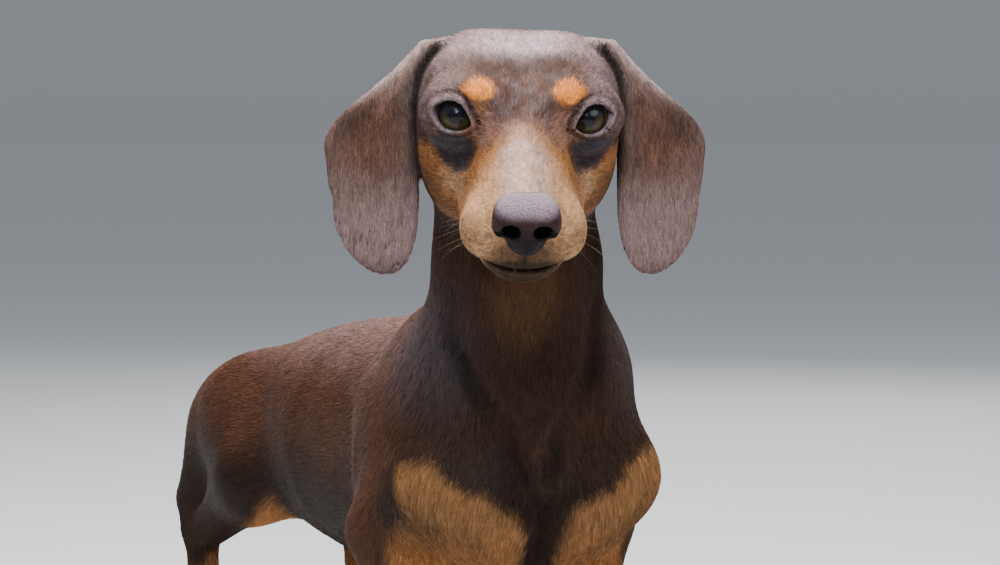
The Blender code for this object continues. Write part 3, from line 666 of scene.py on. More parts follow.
# Colours of painted light: the ear's lilac is partly painted sheen, the crown's and shoulder's sheens are
# painted sheen, the nose's top is a painted highlight, and the chin, under the nose, the nose's lower front
# and its nostrils get painted shade
EAR_LILAC_AND_SHEEN = (0.325, 0.21, 0.19)
CROWN_SHEEN = (0.5, 0.41, 0.44)
SHOULDER_SHEEN = (0.13, 0.12, 0.145)
CHIN_SHADE = (0.022, 0.013, 0.005)
UNDER_NOSE_SHADE = (0.03, 0.018, 0.01)
NOSE_TOP_HIGHLIGHT = (0.44, 0.31, 0.36)
NOSE_SHADE = (0.011, 0.006, 0.006)
NOSTRIL_SHADE = (0.004, 0.003, 0.003)
IRIS = (0.026, 0.018, 0.005)
IRIS_FIBRE = (0.056, 0.041, 0.012)
IRIS_INNER = (0.016, 0.009, 0.004)
IRIS_EDGE = (0.006, 0.004, 0.003)
PUPIL = (0.002, 0.002, 0.003)
# A painted sky reflection and lid shade for the upper part of the eye
PAINTED_SKY_AND_LID_SHADE = (0.007, 0.009, 0.016)
EYE_WHITE = (0.05, 0.032, 0.026)


def mixed(colour, other, share):
    return colour + (np.asarray(other) - colour) * np.clip(share, 0, 1)[:, None]


def painted(colour, *layers):
    """A colour, or one for each place, with others laid over it: each one and its share."""
    for other, share in layers:
        colour = mixed(colour, other, share)
    return colour


def plain(colour, places):
    """One colour for each place."""
    return np.tile(colour, (len(places), 1))


def darker(colour, share):
    return share * np.asarray(colour)


def mottled(p, size, seed):
    """Smooth noise from -1 to 1, with spots about this large."""
    table = np.random.default_rng(seed).uniform(-1, 1, 4096)
    q = p / size
    base = np.floor(q).astype(np.int64)
    part = q - base
    part = part * part * (3 - 2 * part)
    made = np.zeros(len(p))
    for corner in np.ndindex(2, 2, 2):
        key = ((base + corner) @ np.array((73856093, 19349663, 83492791))) % len(table)
        made += table[key] * np.prod(np.where(corner, part, 1 - part), axis=1)
    return made


def locks(p, h, hangs, on_head):
    """Streaks of hair a millimetre wide, drawn out the way that the coat lies."""
    back = mottled(p * (1, 0.18, 1), 0.0009, 14)
    down = mottled(p * (1, 1, 0.18), 0.0009, 15)
    face = mottled(h * (1, 0.22, 1), 0.0008, 16)
    return np.where(on_head > 0.5, face, np.where(hangs > 0.5, down, back))


def spot(p, centre, radii, soft=0.25):
    """1 inside an egg-shaped patch, 0 outside, with a soft edge."""
    return ramp(norm((p - np.asarray(centre)) / np.asarray(radii)), 1 + soft, 1 - soft)


def past_plane(p, cut):
    return (p - cut[0]) @ cut[1]


HEAD_PLANE = (EYE_MIDPOINT + LEVEL_TO_DOG @ HEAD_CUT[0], LEVEL_TO_DOG @ HEAD_CUT[1])


def lid_colours(m, colour):
    """The pale rims and folds of the lids, painted shade in the crease over the upper lid, and the dark skin
    at their edge.
    """
    edge, q = lid_edge(m)
    off = norm(m - EYE)
    close = ramp(off, 0.018, 0.015)
    above = ramp(q[:, 2], 0.0, 0.003)
    rim = close * ramp(edge, 0.0012 + 0.0007 * above, 0.0007 + 0.0003 * above)
    crease_shade = close * above * bell(edge, 0.0036, 0.0009)
    return painted(
        colour,
        (LID_RIM, (0.62 - 0.2 * above) * rim),
        (darker(LID_RIM, 0.75), 0.4 * (close * above * ramp(edge, 0.0036, 0.0026))),
        # Painted shade in the crease over the upper lid
        (DARK_CHOCOLATE, 0.6 * crease_shade * ramp(q[:, 0], 0.003, -0.003)),
        (DARK_SKIN, ramp(off, 0.0125, 0.0115) * ramp(edge, 0.0006, 0.0002)),
    )


def mouth_colours(h, m, colour):
    """The chin and lips: darker hair where the lips meet, flecks where the whiskers root, and painted shade
    over the chin, on the lower cheeks and under the nose.
    """
    x, y, z = m.T
    line = curve(MOUTH_LINE, y)[0]
    lip = bell(z, line, 0.0013) * ramp(y, MOUTH_CORNER_Y + 0.002, MOUTH_CORNER_Y - 0.004)
    below = ramp(z, line - 0.001, line - 0.004) * ramp(y, 0.01, -0.01)
    chin = ramp(np.hypot(x, (y + 0.06) / 1.4), 0.024, 0.015) * ramp(z, line + 0.0065, line + 0.0035)
    jowl_shade = ramp(z, -0.018, -0.032) * ramp(y, -0.008, 0.008)
    rows = np.cos(z * math.tau / 0.0036) + np.cos((y + 0.35 * z) * math.tau / 0.004)
    pad = spot(m, (0.016, -0.05, -0.031), (0.01, 0.016, 0.008), 0.3)
    philtrum = bell(x, 0.0, 0.0016) * ramp(y, -0.056, -0.062) * ramp(z, -0.024, -0.028)
    return painted(
        colour,
        (TAN, 0.7 * below),
        # Painted shade over the chin
        (CHIN_SHADE, 0.94 * chin),
        # Painted shade on the lower cheeks
        (darker(RED_BROWN, 0.45), 0.7 * jowl_shade),
        (DARK_CHOCOLATE, pad * (0.08 + 0.62 * ramp(rows, 1.0, 1.7))),
        (DARK_SKIN, 0.92 * lip),
        (DARK_SKIN, 0.9 * philtrum),
        # Painted shade under the nose
        (UNDER_NOSE_SHADE, 0.8 * spot(m, (0.002, -0.064, -0.0345), (0.0125, 0.014, 0.0085), 0.45)),
    )


def face_colours(h, m, colour):
    """The head's markings, on what is chocolate before them, with painted sheen over the upper head, crown
    and temples.
    """
    x, y, z = m.T
    wander = 0.0016 * mottled(h, 0.006, 1) + 0.0008 * mottled(h, 0.0022, 2)
    top = ramp(z + 0.25 * y, 0.004, 0.022) * ramp(y, -0.02, 0.0)
    crown_sheen = ramp(y + 0.5 * z + 2 * wander, 0.019, 0.037) * ramp(y, 0.06, 0.036) * ramp(x, 0.045, 0.012)
    temple_sheen = ramp(x, 0.02, 0.032) * ramp(z, -0.008, 0.002)
    patches = 0.95 + 0.8 * mottled(h, 0.0035, 9)
    muzzle = ramp(y + wander, -0.01, -0.017)
    cheek = ramp(z + 0.3 * (y - 0.01) + wander, -0.0135, -0.0185) * ramp(y, 0.052, 0.036)
    stop = ramp(x + wander, 0.0165, 0.0105) * ramp(y, -0.026, -0.012) * ramp(y, 0.008, -0.004)
    brown = mixed(plain(LILAC, x), RED_BROWN, 0.6 + 0.6 * mottled(h, 0.0035, 8))
    bridge = ramp(x + 0.8 * wander, 0.0145, 0.005) * ramp(z, -0.02, -0.012) * ramp(y, -0.014, -0.032)
    below_eye = m + np.column_stack([wander, 0 * x, wander])
    brow = m + np.column_stack([0.4 * wander, 0 * x, 0.4 * wander])
    colour = painted(
        colour,
        # Painted sheen: the lilac over the upper head, crown and temples, and the paler crown sheen, stand in
        # for the sky's reflection on the hair; a little of the lilac everywhere is the coat's own
        (LILAC, 0.08 * top + 0.68 * crown_sheen + 0.07 + 0.28 * temple_sheen),
        (darker(RED_BROWN, 0.35), patches * spot(m, (0.011, 0.0085, 0.018), (0.0095, 0.011, 0.02), 0.6)),
        (CROWN_SHEEN, 0.32 * crown_sheen * ramp(x, 0.024, 0.006)),
        (TAN, np.maximum(muzzle, cheek)),
        (PALE_TAN, 0.78 * ramp(y + wander, -0.021, -0.042)),
        (PALE_TAN, 0.75 * spot(m, (0.0265, -0.01, -0.026), (0.008, 0.012, 0.011), 0.5)),
        (darker(TAN, 0.85), 0.8 * spot(m, (0.0205, -0.02, -0.016), (0.0045, 0.01, 0.0055), 0.5)),
        (0.6 * brown, 0.9 * stop),
        (BRIDGE, bridge * (0.72 + 0.35 * mottled(h, 0.0025, 12))),
        (INNER_BROWN, 0.85 * spot(m, (0.0158, -0.012, 0.0), (0.004, 0.01, 0.0085), 0.4)),
        # A dark patch below the eye
        (UNDER_EYE_DARK, 0.95 * spot(below_eye, (0.028, -0.004, -0.0115), (0.01, 0.013, 0.009), 0.28)),
        (ORANGE, spot(brow, (0.0184, -0.005, 0.0142), (0.0067, 0.0108, 0.0035), 0.22)),
    )
    return lid_colours(m, mouth_colours(h, m, colour))


def ear_colours(p, inner):
    """An ear: paler along its top edge and low down, partly as painted sheen, reddish across its middle, and
    dark at its outer corner as painted shade in the hollow there.
    """
    q = folded((p - EYE_MIDPOINT) @ LEVEL_TO_DOG)
    level = q[:, 2] + 0.003 * mottled(p, 0.012, 10)
    edge, across = ear_edge(q[:, 0], q[:, 2])
    return painted(
        plain(CHOCOLATE, p),
        # The lilac low on the ear is partly the ear's own colour and partly painted sheen
        (EAR_LILAC_AND_SHEEN, 0.3 + 0.44 * ramp(level, -0.016, -0.046)),
        (RED_BROWN, 0.65 * ramp(np.abs(level + 0.008), 0.022, 0.004) * ramp(np.abs(across), 0.9, 0.2)),
        # Painted shade in the hollow at the ear's outer corner
        (DARK_CHOCOLATE, 0.4 * spot(q * (1, 0, 1), (0.068, 0, -0.002), (0.01, 1, 0.009), 0.6)),
        # The pale top edge is partly the ear's own colour and partly painted sheen
        (BRIDGE, 0.7 * ramp(level, 0.0, 0.018) * ramp(edge, -0.01, -0.002)),
        (DARK_CHOCOLATE, 0.35 * ramp(level, -0.056, -0.064)),
        (INNER_EAR, 0.8 * inner),
    )


def ear_share(p):
    """How far a place belongs to an ear, how far it is on its inner side, and how far off the ear it is."""
    past = ears(p) - flesh(p) - COAT_DEPTH
    share = ramp(past, 0.0015, -0.0005)
    inner = np.zeros(len(p))
    for side, _ in SIDES:
        q = from_ear(p, side)
        sheet, edge, _, _ = ear_sheet(q, side)
        inner += (q[:, 1] > sheet) * (q[:, 0] > 0) * ramp(edge, -0.001, -0.004)
    return share, inner * share, past


def body_colours(p, q, m):
    """The markings of the trunk, neck, legs and tail, with painted sheen on the shoulders and along the back,
    and painted shade in the grooves down the neck and low on the chest.
    """
    x, y, z = m.T
    legs_y = stepped(m, q)[:, 1]
    wander = 0.004 * mottled(p, 0.014, 3) + 0.002 * mottled(p, 0.005, 4)
    high = z + wander
    back = ramp(high, 0.136, 0.168) * ramp(y, 0.0, 0.05) * ramp(y, 0.27, 0.23)
    fore, hind = ramp(y, 0.05, 0.03), ramp(y, 0.15, 0.17)
    chest = ramp(high - 0.62 * np.minimum(x, 0.05), 0.093, 0.084) * ramp(x + wander, 0.005, 0.014)
    chest *= ramp(y, -0.012, -0.026)
    outer = ramp(x - 0.1 * z, 0.05, 0.043) * ramp(legs_y, 0.016, -0.002)
    fore_leg = np.maximum(
        ramp(high, 0.066, 0.05), ramp(z, 0.1, 0.085) * outer * ramp(x + wander, 0.006, 0.015)
    )
    fore_leg *= ramp(high, 0.098, 0.06)
    low = ramp(high + 0.9 * np.maximum(x - 0.04, 0), 0.05, 0.034)
    inside = ramp(x, 0.04, 0.03) * ramp(high, 0.098, 0.082) * ramp(z, 0.02, 0.03)
    front_edge = ramp(y + 0.55 * z, 0.226, 0.214) * ramp(high, 0.086, 0.076) * ramp(x, 0.054, 0.046)
    hind_leg = np.maximum(np.maximum(low, inside * ramp(x, 0.006, 0.016)), front_edge)
    strap_shade = [near_line(q + (0.004 * inward, 0, 0), strap, 0.0055) for inward, strap in STRAPS]
    return painted(
        plain(CHOCOLATE, p),
        (RED_BROWN, 0.2 * ramp(mottled(p, 0.03, 5), -0.2, 0.8) * ramp(y, -0.02, 0.03)),
        (DARK_CHOCOLATE, ramp(y, 0.0, -0.045) * (0.6 + 0.25 * ramp(z, 0.135, 0.105))),
        # Painted sheen on the shoulders
        (SHOULDER_SHEEN, 0.3 * spot(m, (0.04, -0.022, 0.163), (0.016, 0.036, 0.03), 0.7)),
        # Painted shade in the grooves down the neck
        *[(darker(DARK_CHOCOLATE, 0.5), 0.9 * strap) for strap in strap_shade],
        (DARK_CHOCOLATE, 0.85 * ramp(high, 0.124, 0.088) * ramp(y, 0.02, 0.05)),
        # Painted sheen along the top of the back
        (LILAC, 0.27 * back),
        (TAN, 0.16 * spot(p, (-0.018, -0.09, 0.19), (0.0155, 0.035, 0.028), 0.35)),
        (CHEST_TAN, 0.92 * fore * chest * np.maximum(outer, ramp(y, -0.036, -0.046))),
        # Painted shade low on the chest's tan patches
        (DARK_CHOCOLATE, 0.6 * fore * chest * ramp(z - 0.5 * x, 0.081, 0.064)),
        (TAN, fore * fore_leg),
        (TAN, hind * hind_leg),
        (CHOCOLATE, ramp(past_plane(p, TAIL_CUT), -0.004, 0.004)),
        (TAN, 0.8 * spot(q, (0.0, 0.276, 0.098), (0.016, 0.02, 0.018), 0.3)),
        (DARK_SKIN, 0.9 * ramp(z, 0.004, 0.0015) + 0.15 * ramp(z, 0.013, 0.006)),
    )


def markings_and_painted_light(p):
    """The colour of the coat, and of the skin under it, at each place on the dog, with painted sheen and
    painted shade in places.
    """
    q = bent(p)
    m = folded(q)
    h = from_head(p)
    on_head = ramp(past_plane(p, HEAD_PLANE), 0.003, -0.004)
    colour = body_colours(p, q, m)
    colour = colour + (face_colours(h, folded(h), plain(CHOCOLATE, p)) - colour) * on_head[:, None]
    # Painted shade: the skin within the nose, seen through the nostrils, is painted dark
    colour = mixed(colour, DARK_SKIN, on_head * ramp(nose_form(h, folded(h)), 0.0006, 0.0))
    share, inner, past = ear_share(p)
    colour = colour + (ear_colours(p, inner) - colour) * share[:, None]
    # Painted shade in the crease where the ears meet the head
    crease_shade = ramp(past, 0.008, 0.002) * ramp(past, -0.006, -0.0015) * ramp(h[:, 2], 0.0215, 0.0165)
    colour = mixed(colour, DARK_CHOCOLATE, 0.9 * crease_shade)
    hangs = np.maximum(np.maximum(m[:, 1] < 0.0, m[:, 2] < 0.07), share)
    hair = locks(p, h, hangs, on_head * (1 - share))
    hair *= 0.22 + 0.24 * on_head
    return np.clip(colour * (1 + 0.08 * mottled(p, 0.0035, 6) + hair)[:, None], 0, 1)


def bare(p):
    """1 where no hair grows: the lids' rims, the lips' edge, the nose and the soles."""
    h = from_head(p)
    m = folded(h)
    line = curve(MOUTH_LINE, m[:, 1])[0]
    lip = ramp(np.abs(m[:, 2] - line), 0.0012, 0.0007) * (m[:, 1] < MOUTH_CORNER_Y) * (h[:, 2] > -0.06)
    rim = ramp(norm(m - EYE), 0.017, 0.015) * ramp(lid_edge(m)[0], 0.0011, 0.0006)
    pad = ramp(nose_form(h, m), 0.0004, 0.0001)
    return np.maximum.reduce([rim, lip * (past_plane(p, HEAD_PLANE) < 0), pad, p[:, 2] < 0.0012])


def hanging(p):
    """1 where the body's coat hangs down and 0 where it lies back."""
    return np.maximum(ramp(p[:, 1], 0.03, -0.03), ramp(p[:, 2], 0.082, 0.058))


def lie_of(p, normal):
    """Which way the coat lies: back along the face and trunk, down the ears, neck, chest and legs."""
    h = from_head(p)
    flow = mixed(plain((0.0, 1.0, -0.32), p), (0.0, 0.3, -1.0), hanging(p))
    flow = mixed(flow, (0.55, 0.8, -0.15), ramp(bent(p)[:, 1], 0.27, 0.3))
    down = -0.15 + 8.0 * np.minimum(h[:, 2] + 0.012, 0)
    face = np.column_stack([0.45 * h[:, 0] / SKULL_HALF_WIDTH, np.ones(len(p)), down])
    on_head = ramp(past_plane(p, HEAD_PLANE), 0.012, -0.012)
    flow = flow + (face @ HEAD_TO_DOG.T - flow) * on_head[:, None]
    flow = mixed(flow, (0.0, -0.1, -1.0), ear_share(p)[0])
    flow -= normal * (flow * normal).sum(1)[:, None]
    return flow / np.maximum(np.linalg.norm(flow, axis=1), 1e-6)[:, None]


def unit(v):
    return v / np.maximum(np.linalg.norm(v, axis=1), 1e-12)[:, None]


def placed(name, data):
    """A new object in the scene."""
    made = bpy.data.objects.new(name, data)
    bpy.context.scene.collection.objects.link(made)
    return made


def new_mesh(name, points, faces):
    data = bpy.data.meshes.new(name)
    data.from_pydata(points.tolist(), [], faces.tolist() if isinstance(faces, np.ndarray) else faces)
    data.shade_smooth()
    return placed(name, data)


@contextmanager
def edited(piece):
    """A mesh opened for editing, and written back after it."""
    work = bmesh.new()
    work.from_mesh(piece.data)
    yield work
    work.to_mesh(piece.data)
    work.free()


def corners_of(piece):
    points = np.empty(len(piece.data.vertices) * 3)
    piece.data.vertices.foreach_get("co", points)
    return points.reshape(-1, 3)


def place_corners(piece, points):
    piece.data.vertices.foreach_set("co", points.ravel())
    piece.data.update()


def refined(piece, field, chosen, cell):
    """Cut the faces round the chosen places finer, and settle them again."""
    keep = chosen(corners_of(piece))
    with edited(piece) as work:
        edges = [edge for edge in work.edges if keep[edge.verts[0].index] and keep[edge.verts[1].index]]
        bmesh.ops.subdivide_edges(work, edges=edges, cuts=1, use_grid_fill=True)
    points = corners_of(piece)
    keep = chosen(points)
    points[keep] = settled(field, points[keep], cell)
    place_corners(piece, points)


def tint(piece, colour):
    """Give a mesh its colours, one for each corner point."""
    layer = piece.data.color_attributes.new("tint", "FLOAT_COLOR", "POINT")
    opaque = np.column_stack([colour, np.ones(len(colour))])
    layer.data.foreach_set("color", opaque.astype(np.float32).ravel())


def shade(piece, name, values):
    """Give a mesh a number for each corner point, for its material to read."""
    layer = piece.data.attributes.new(name, "FLOAT", "POINT")
    layer.data.foreach_set("value", np.asarray(values, np.float32))


def faced(points):
    """Whether a corner is where the face has its finest forms: by the eyes, on the nose, along the lips."""
    h = from_head(points)
    m = folded(h)
    mouth = (h[:, 1] < -0.03) & (h[:, 2] < -0.02) & (h[:, 2] > -0.055)
    front = (mouth | (h[:, 1] < -0.054)) & (past_plane(points, HEAD_PLANE) < 0)
    return ((norm(m - EYE) < 0.0185) & (m[:, 1] < 0.004)) | front


def lidded(points):
    m = folded(from_head(points))
    return (norm(m - EYE) < 0.015) & (m[:, 1] < 0.002)


# The coat: each region's number of tufts, their length, width and how far their tips stand out
COAT = {
    "head": (48000, 0.0034, 0.0004, 0.0003),
    "muzzle": (40000, 0.0025, 0.00034, 0.00022),
    "ear_left": (34000, 0.0042, 0.0004, 0.00026),
    "ear_right": (34000, 0.0042, 0.0004, 0.00026),
    "neck": (46000, 0.0062, 0.0005, 0.0004),
    "torso_fore": (48000, 0.0062, 0.00048, 0.0004),
    "torso_rear": (48000, 0.0062, 0.00048, 0.0004),
    "foreleg_left": (13000, 0.0055, 0.0005, 0.00035),
    "foreleg_right": (13000, 0.0055, 0.0005, 0.00035),
    "hindleg_left": (13000, 0.006, 0.0005, 0.00035),
    "hindleg_right": (13000, 0.006, 0.0005, 0.00035),
    "tail": (9000, 0.0085, 0.0005, 0.0005),
}


def region_of(p):
    """The name of the coat's region at each place."""
    q = bent(p)
    m = folded(q)
    legs = stepped(m, q)
    left = q[:, 0] > 0
    names = np.where(p[:, 1] < 0.1, "torso_fore", "torso_rear").astype("U16")
    trunk_d = trunk(q, m)
    for kind, leg, foot, near in (
        ("foreleg", foreleg, FORE_PAW, p[:, 1] < 0.08),
        ("hindleg", hindleg, HIND_PAW, p[:, 1] > 0.12),
    ):
        own = near & (np.minimum(leg(legs), paw(legs, *foot)) < trunk_d - 0.004) & (p[:, 2] < 0.085)
        names[own & left] = kind + "_left"
        names[own & ~left] = kind + "_right"
    names[past_plane(p, TAIL_CUT) > 0] = "tail"
    names[(past_plane(p, NECK_CUT) > 0) & (p[:, 1] < 0.05)] = "neck"
    on_head = past_plane(p, HEAD_PLANE) < 0
    names[on_head] = "head"
    names[on_head & (from_head(p)[:, 1] < -0.016)] = "muzzle"
    on_ear = ear_share(p)[0] > 0.5
    left = from_ear(p, "left")[:, 0] > 0
    names[on_ear & left] = "ear_left"
    names[on_ear & ~left] = "ear_right"
    return names


def unrolled(region, p):
    """Where each place falls on its region's skin unrolled flat: round the form, and along it."""
    q = bent(p)
    if region.startswith("ear"):
        side = region[4:]
        q = from_ear(p, side)
        behind = q[:, 1] > ear_sheet(q, side)[0]
        around, along = q[:, 0] + 0.05 * behind, q[:, 2]
    elif region in ("head", "muzzle"):
        h = from_head(p)
        around, along = np.arctan2(h[:, 0], h[:, 2] + 0.018), h[:, 1]
    elif region == "neck":
        around, along = np.arctan2(p[:, 0] + 0.006, p[:, 1] + 0.036), p[:, 2]
    elif region.startswith("torso"):
        around, along = np.arctan2(q[:, 0], q[:, 2] - 0.11), q[:, 1]
    elif region == "tail":
        across, level, _ = curve(TAIL, q[:, 1])
        around, along = np.arctan2(q[:, 0] - across, p[:, 2] - level), p[:, 1]
    else:
        middle = (0.044, 0.0) if region.startswith("fore") else (0.04, 0.235)
        around, along = np.arctan2(*(folded(q)[:, :2] - middle).T), p[:, 2]
    flat = np.column_stack([around, along])
    low, high = flat.min(0), flat.max(0)
    return 0.01 + 0.98 * (flat - low) / (high - low)


def scattered(points, triangles, weight, count, rng):
    """Places spread over a mesh's triangles, by area and weight, with the corners' shares of each."""
    a, b, c = (points[triangles[:, k]] for k in range(3))
    area = np.linalg.norm(np.cross(b - a, c - a), axis=1) * weight
    chosen = rng.choice(len(triangles), count, p=area / area.sum())
    u, v = rng.random(count), rng.random(count)
    over = u + v > 1
    u[over], v[over] = 1 - u[over], 1 - v[over]
    return chosen, np.column_stack([1 - u - v, u, v])


TUFT_UV = np.array(((-0.0015, 0.0), (0.0015, 0.0), (0.0, 0.0012), (0.0, 0.003)))
TUFT_FACES = np.array(((0, 1, 2), (1, 3, 2), (3, 0, 2), (0, 3, 1)))
# Each tuft is darker at its root and lighter at its tip: painted shade at the root, painted light at the tip
TUFT_ROOT_SHADE_AND_TIP_LIGHT = (0.8, 0.8, 1.0, 1.18)

# How the tufts vary: the spread of their direction and tone, and the shares of the region's own measures
TUFT_SPREAD, TUFT_TONE_SPREAD = 0.16, 0.26
TUFT_LENGTHS, TUFT_WIDTHS, TUFT_RISES = (0.65, 1.25), (0.7, 1.3), (0.5, 1.4)
TUFT_ROOT_DEPTH = 0.0002


def tufted(region, points, normals, triangles, weight, rng):
    """One region of coat: thin tapered tufts, rooted in the skin and lying along it, as one mesh."""
    count, length, width, lift = COAT[region]
    chosen, shares = scattered(points, triangles, weight, count, rng)
    root, normal = (np.einsum("ij,ijk->ik", shares, v[triangles[chosen]]) for v in (points, normals))
    normal = unit(normal)
    flow = lie_of(root, normal)
    side = np.cross(normal, flow)
    flow = unit(flow + side * rng.normal(0, TUFT_SPREAD, count)[:, None])
    side = np.cross(normal, flow)
    long = length * rng.uniform(*TUFT_LENGTHS, count)
    half = width / 2 * rng.uniform(*TUFT_WIDTHS, count)
    rise = lift * rng.uniform(*TUFT_RISES, count)
    long *= 0.35 + 0.65 * ramp(norm(folded(from_head(root)) - EYE), 0.0115, 0.019)
    away = np.maximum(skin(root + flow * long[:, None]), 0)
    long *= np.clip(0.1 * long / np.maximum(away, 1e-6), 0.3, 1.0)
    # The tip and the middle stand over the skin, and the root is sunk in it
    tip = root + flow * long[:, None]
    tip += normal * (rise - np.clip(skin(tip), -0.003, 0.002))[:, None]
    middle = root + 0.4 * (tip - root)
    middle += normal * (0.8 * rise - np.clip(skin(middle), -0.002, 0.0))[:, None]
    sunk = root - normal * TUFT_ROOT_DEPTH
    across = side * half[:, None]
    corners = np.stack([sunk + across, sunk - across, middle, tip], 1)
    corners[:, :, 2] = np.maximum(corners[:, :, 2], 0.0004)
    faces = (np.arange(count)[:, None, None] * 4 + TUFT_FACES).reshape(-1, 3)
    piece = new_mesh("coat_" + region, corners.reshape(-1, 3) - FOOTPRINT_CENTRE, faces)
    tone = 1 + TUFT_TONE_SPREAD * rng.normal(0, 1, count)
    colour = markings_and_painted_light(0.5 * (middle + tip) + 0.0005 * rng.normal(0, 1, (count, 3)))
    colour = colour[:, None, :] * np.clip(tone, 0.4, 2.0)[:, None, None]
    # Painted shade at each tuft's root and painted light at its tip
    tint(piece, np.clip(colour * np.array(TUFT_ROOT_SHADE_AND_TIP_LIGHT)[None, :, None], 0, 1).reshape(-1, 3))
    bend = [normal + 0.45 * side, normal - 0.45 * side, normal - 0.1 * flow, normal + 0.25 * flow]
    piece.data.normals_split_custom_set_from_vertices(unit(np.stack(bend, 1).reshape(-1, 3)).tolist())
    layer = piece.data.uv_layers.new(name="OFBake")
    spots = unrolled(region, root)[:, None, :] + TUFT_UV
    loops = np.clip(spots[:, TUFT_FACES].reshape(-1, 2), 0, 1)
    layer.data.foreach_set("uv", loops.astype(np.float32).ravel())
    return piece


STREAK_WIDTH = 0.00045
STREAK_LENGTH = 0.0045
PEBBLE_SIZE = 0.00065
SHEEN = {"Sheen_Weight": 0.01, "Sheen_Roughness": 0.4, "Sheen_Tint": (0.85, 0.8, 0.95, 1.0)}
CORNEA_GLOSS = {"Coat_Weight": 0.9, "Coat_Roughness": 0.02, "Coat_IOR": 1.33}


def fed(tree, made, **inputs):
    """A node with its inputs given values, or linked to other nodes' outputs."""
    for name, value in inputs.items():
        socket = made.inputs[name.replace("_", " ")]
        if isinstance(value, bpy.types.NodeSocket):
            tree.links.new(value, socket)
        else:
            socket.default_value = value
    return made


def node(tree, kind, settings=(), **inputs):
    made = tree.nodes.new("ShaderNode" + kind)
    for name, value in settings:
        setattr(made, name, value)
    return fed(tree, made, **inputs)


def attribute(tree, name):
    """The outputs of a node that reads the mesh's numbers or colours of this name."""
    return node(tree, "Attribute", [("attribute_name", name)]).outputs


def on_object(tree):
    return node(tree, "TexCoord").outputs["Object"]


def shades(tree, low, high, share):
    """A colour between two, by the share of the second."""
    made = node(tree, "ValToRGB", Fac=share)
    for element, colour in zip(made.color_ramp.elements, (low, high)):
        element.color = (*colour, 1.0)
    return made


def shader_of(name):
    material = bpy.data.materials.new(name)
    material.use_nodes = True
    tree = material.node_tree
    return material, tree, tree.nodes["Principled BSDF"]


def toned(tree, height, **span):
    """The mesh's own colours, made lighter and darker by a pattern's height."""
    tone = node(tree, "MapRange", Value=height, **span).outputs["Result"]
    colour = attribute(tree, "tint")["Color"]
    return node(tree, "VectorMath", [("operation", "SCALE")], Vector=colour, Scale=tone).outputs["Vector"]


def streaks(tree, turn):
    """Noise drawn out along one direction, as hair lying that way."""
    scale = (1 / STREAK_WIDTH, 1 / STREAK_LENGTH, 1 / STREAK_WIDTH)
    mapping = node(tree, "Mapping", Rotation=(turn, 0.0, 0.0), Scale=scale, Vector=on_object(tree))
    return node(tree, "TexNoise", Scale=1.0, Detail=2.0, Vector=mapping.outputs["Vector"]).outputs["Fac"]


def skin_material():
    """Short hair seen as fine streaks that lie back on the head and trunk and down on the ears and limbs."""
    material, tree, shader = shader_of("short_coat")
    back, down = streaks(tree, 0.25), streaks(tree, math.radians(80))
    hair = node(tree, "Mix", Factor=attribute(tree, "hangs")["Fac"], A=back, B=down).outputs["Result"]
    bump = node(tree, "Bump", Strength=0.6, Distance=0.00025, Height=hair)
    rough = node(tree, "MapRange", To_Min=0.65, To_Max=0.28, Value=attribute(tree, "bare")["Fac"])
    colour = toned(tree, hair, From_Min=0.3, From_Max=0.7, To_Min=0.7, To_Max=1.25)
    fed(tree, shader, Base_Color=colour, Normal=bump.outputs["Normal"], Roughness=rough.outputs["Result"])
    fed(tree, shader, Specular_IOR_Level=0.12, **SHEEN)
    return material


def tinted_material(name, **inputs):
    """A material in the mesh's own colours."""
    material, tree, shader = shader_of(name)
    fed(tree, shader, Base_Color=attribute(tree, "tint")["Color"], **inputs)
    return material


def nose_material():
    """Moist liver-brown leather, pebbled, with a painted highlight on each pebble and painted shade between
    them.
    """
    material, tree, shader = shader_of("nose_leather")
    pebble = node(tree, "TexVoronoi", Scale=1 / PEBBLE_SIZE, Vector=on_object(tree)).outputs["Distance"]
    bump = node(tree, "Bump", [("invert", True)], Strength=1.0, Distance=0.00055, Height=pebble)
    # The pebbles' tone: lighter on each pebble as a painted highlight, darker between them as painted shade
    colour = toned(tree, pebble, From_Max=0.75, To_Min=1.15, To_Max=0.55)
    fed(tree, shader, Base_Color=colour, Normal=bump.outputs["Normal"])
    fed(tree, shader, Roughness=0.24, Specular_IOR_Level=0.12)
    return material


def plain_material(name, colour, roughness):
    """A material whose colour wanders a little, as horn and hair do."""
    material, tree, shader = shader_of(name)
    noise = node(tree, "TexNoise", Scale=900.0, Vector=on_object(tree))
    low, high = ([min(tone * c, 1.0) for c in colour] for tone in (0.7, 1.3))
    wandering = shades(tree, low, high, noise.outputs["Fac"])
    fed(tree, shader, Base_Color=wandering.outputs["Color"], Roughness=roughness)
    return material


def spokes(segments, across, upward):
    """Unit steps out from an axis, all round it."""
    angles = np.arange(segments) * math.tau / segments
    return np.outer(np.cos(angles), across) + np.outer(np.sin(angles), upward)


def bands(rings, segments, first=0):
    """The faces between rings of corners that follow each other."""
    starts = range(first, first + (rings - 1) * segments, segments)
    around = [(k, (k + 1) % segments) for k in range(segments)]
    return [(a + k, a + after, a + segments + after, a + segments + k) for a in starts for k, after in around]


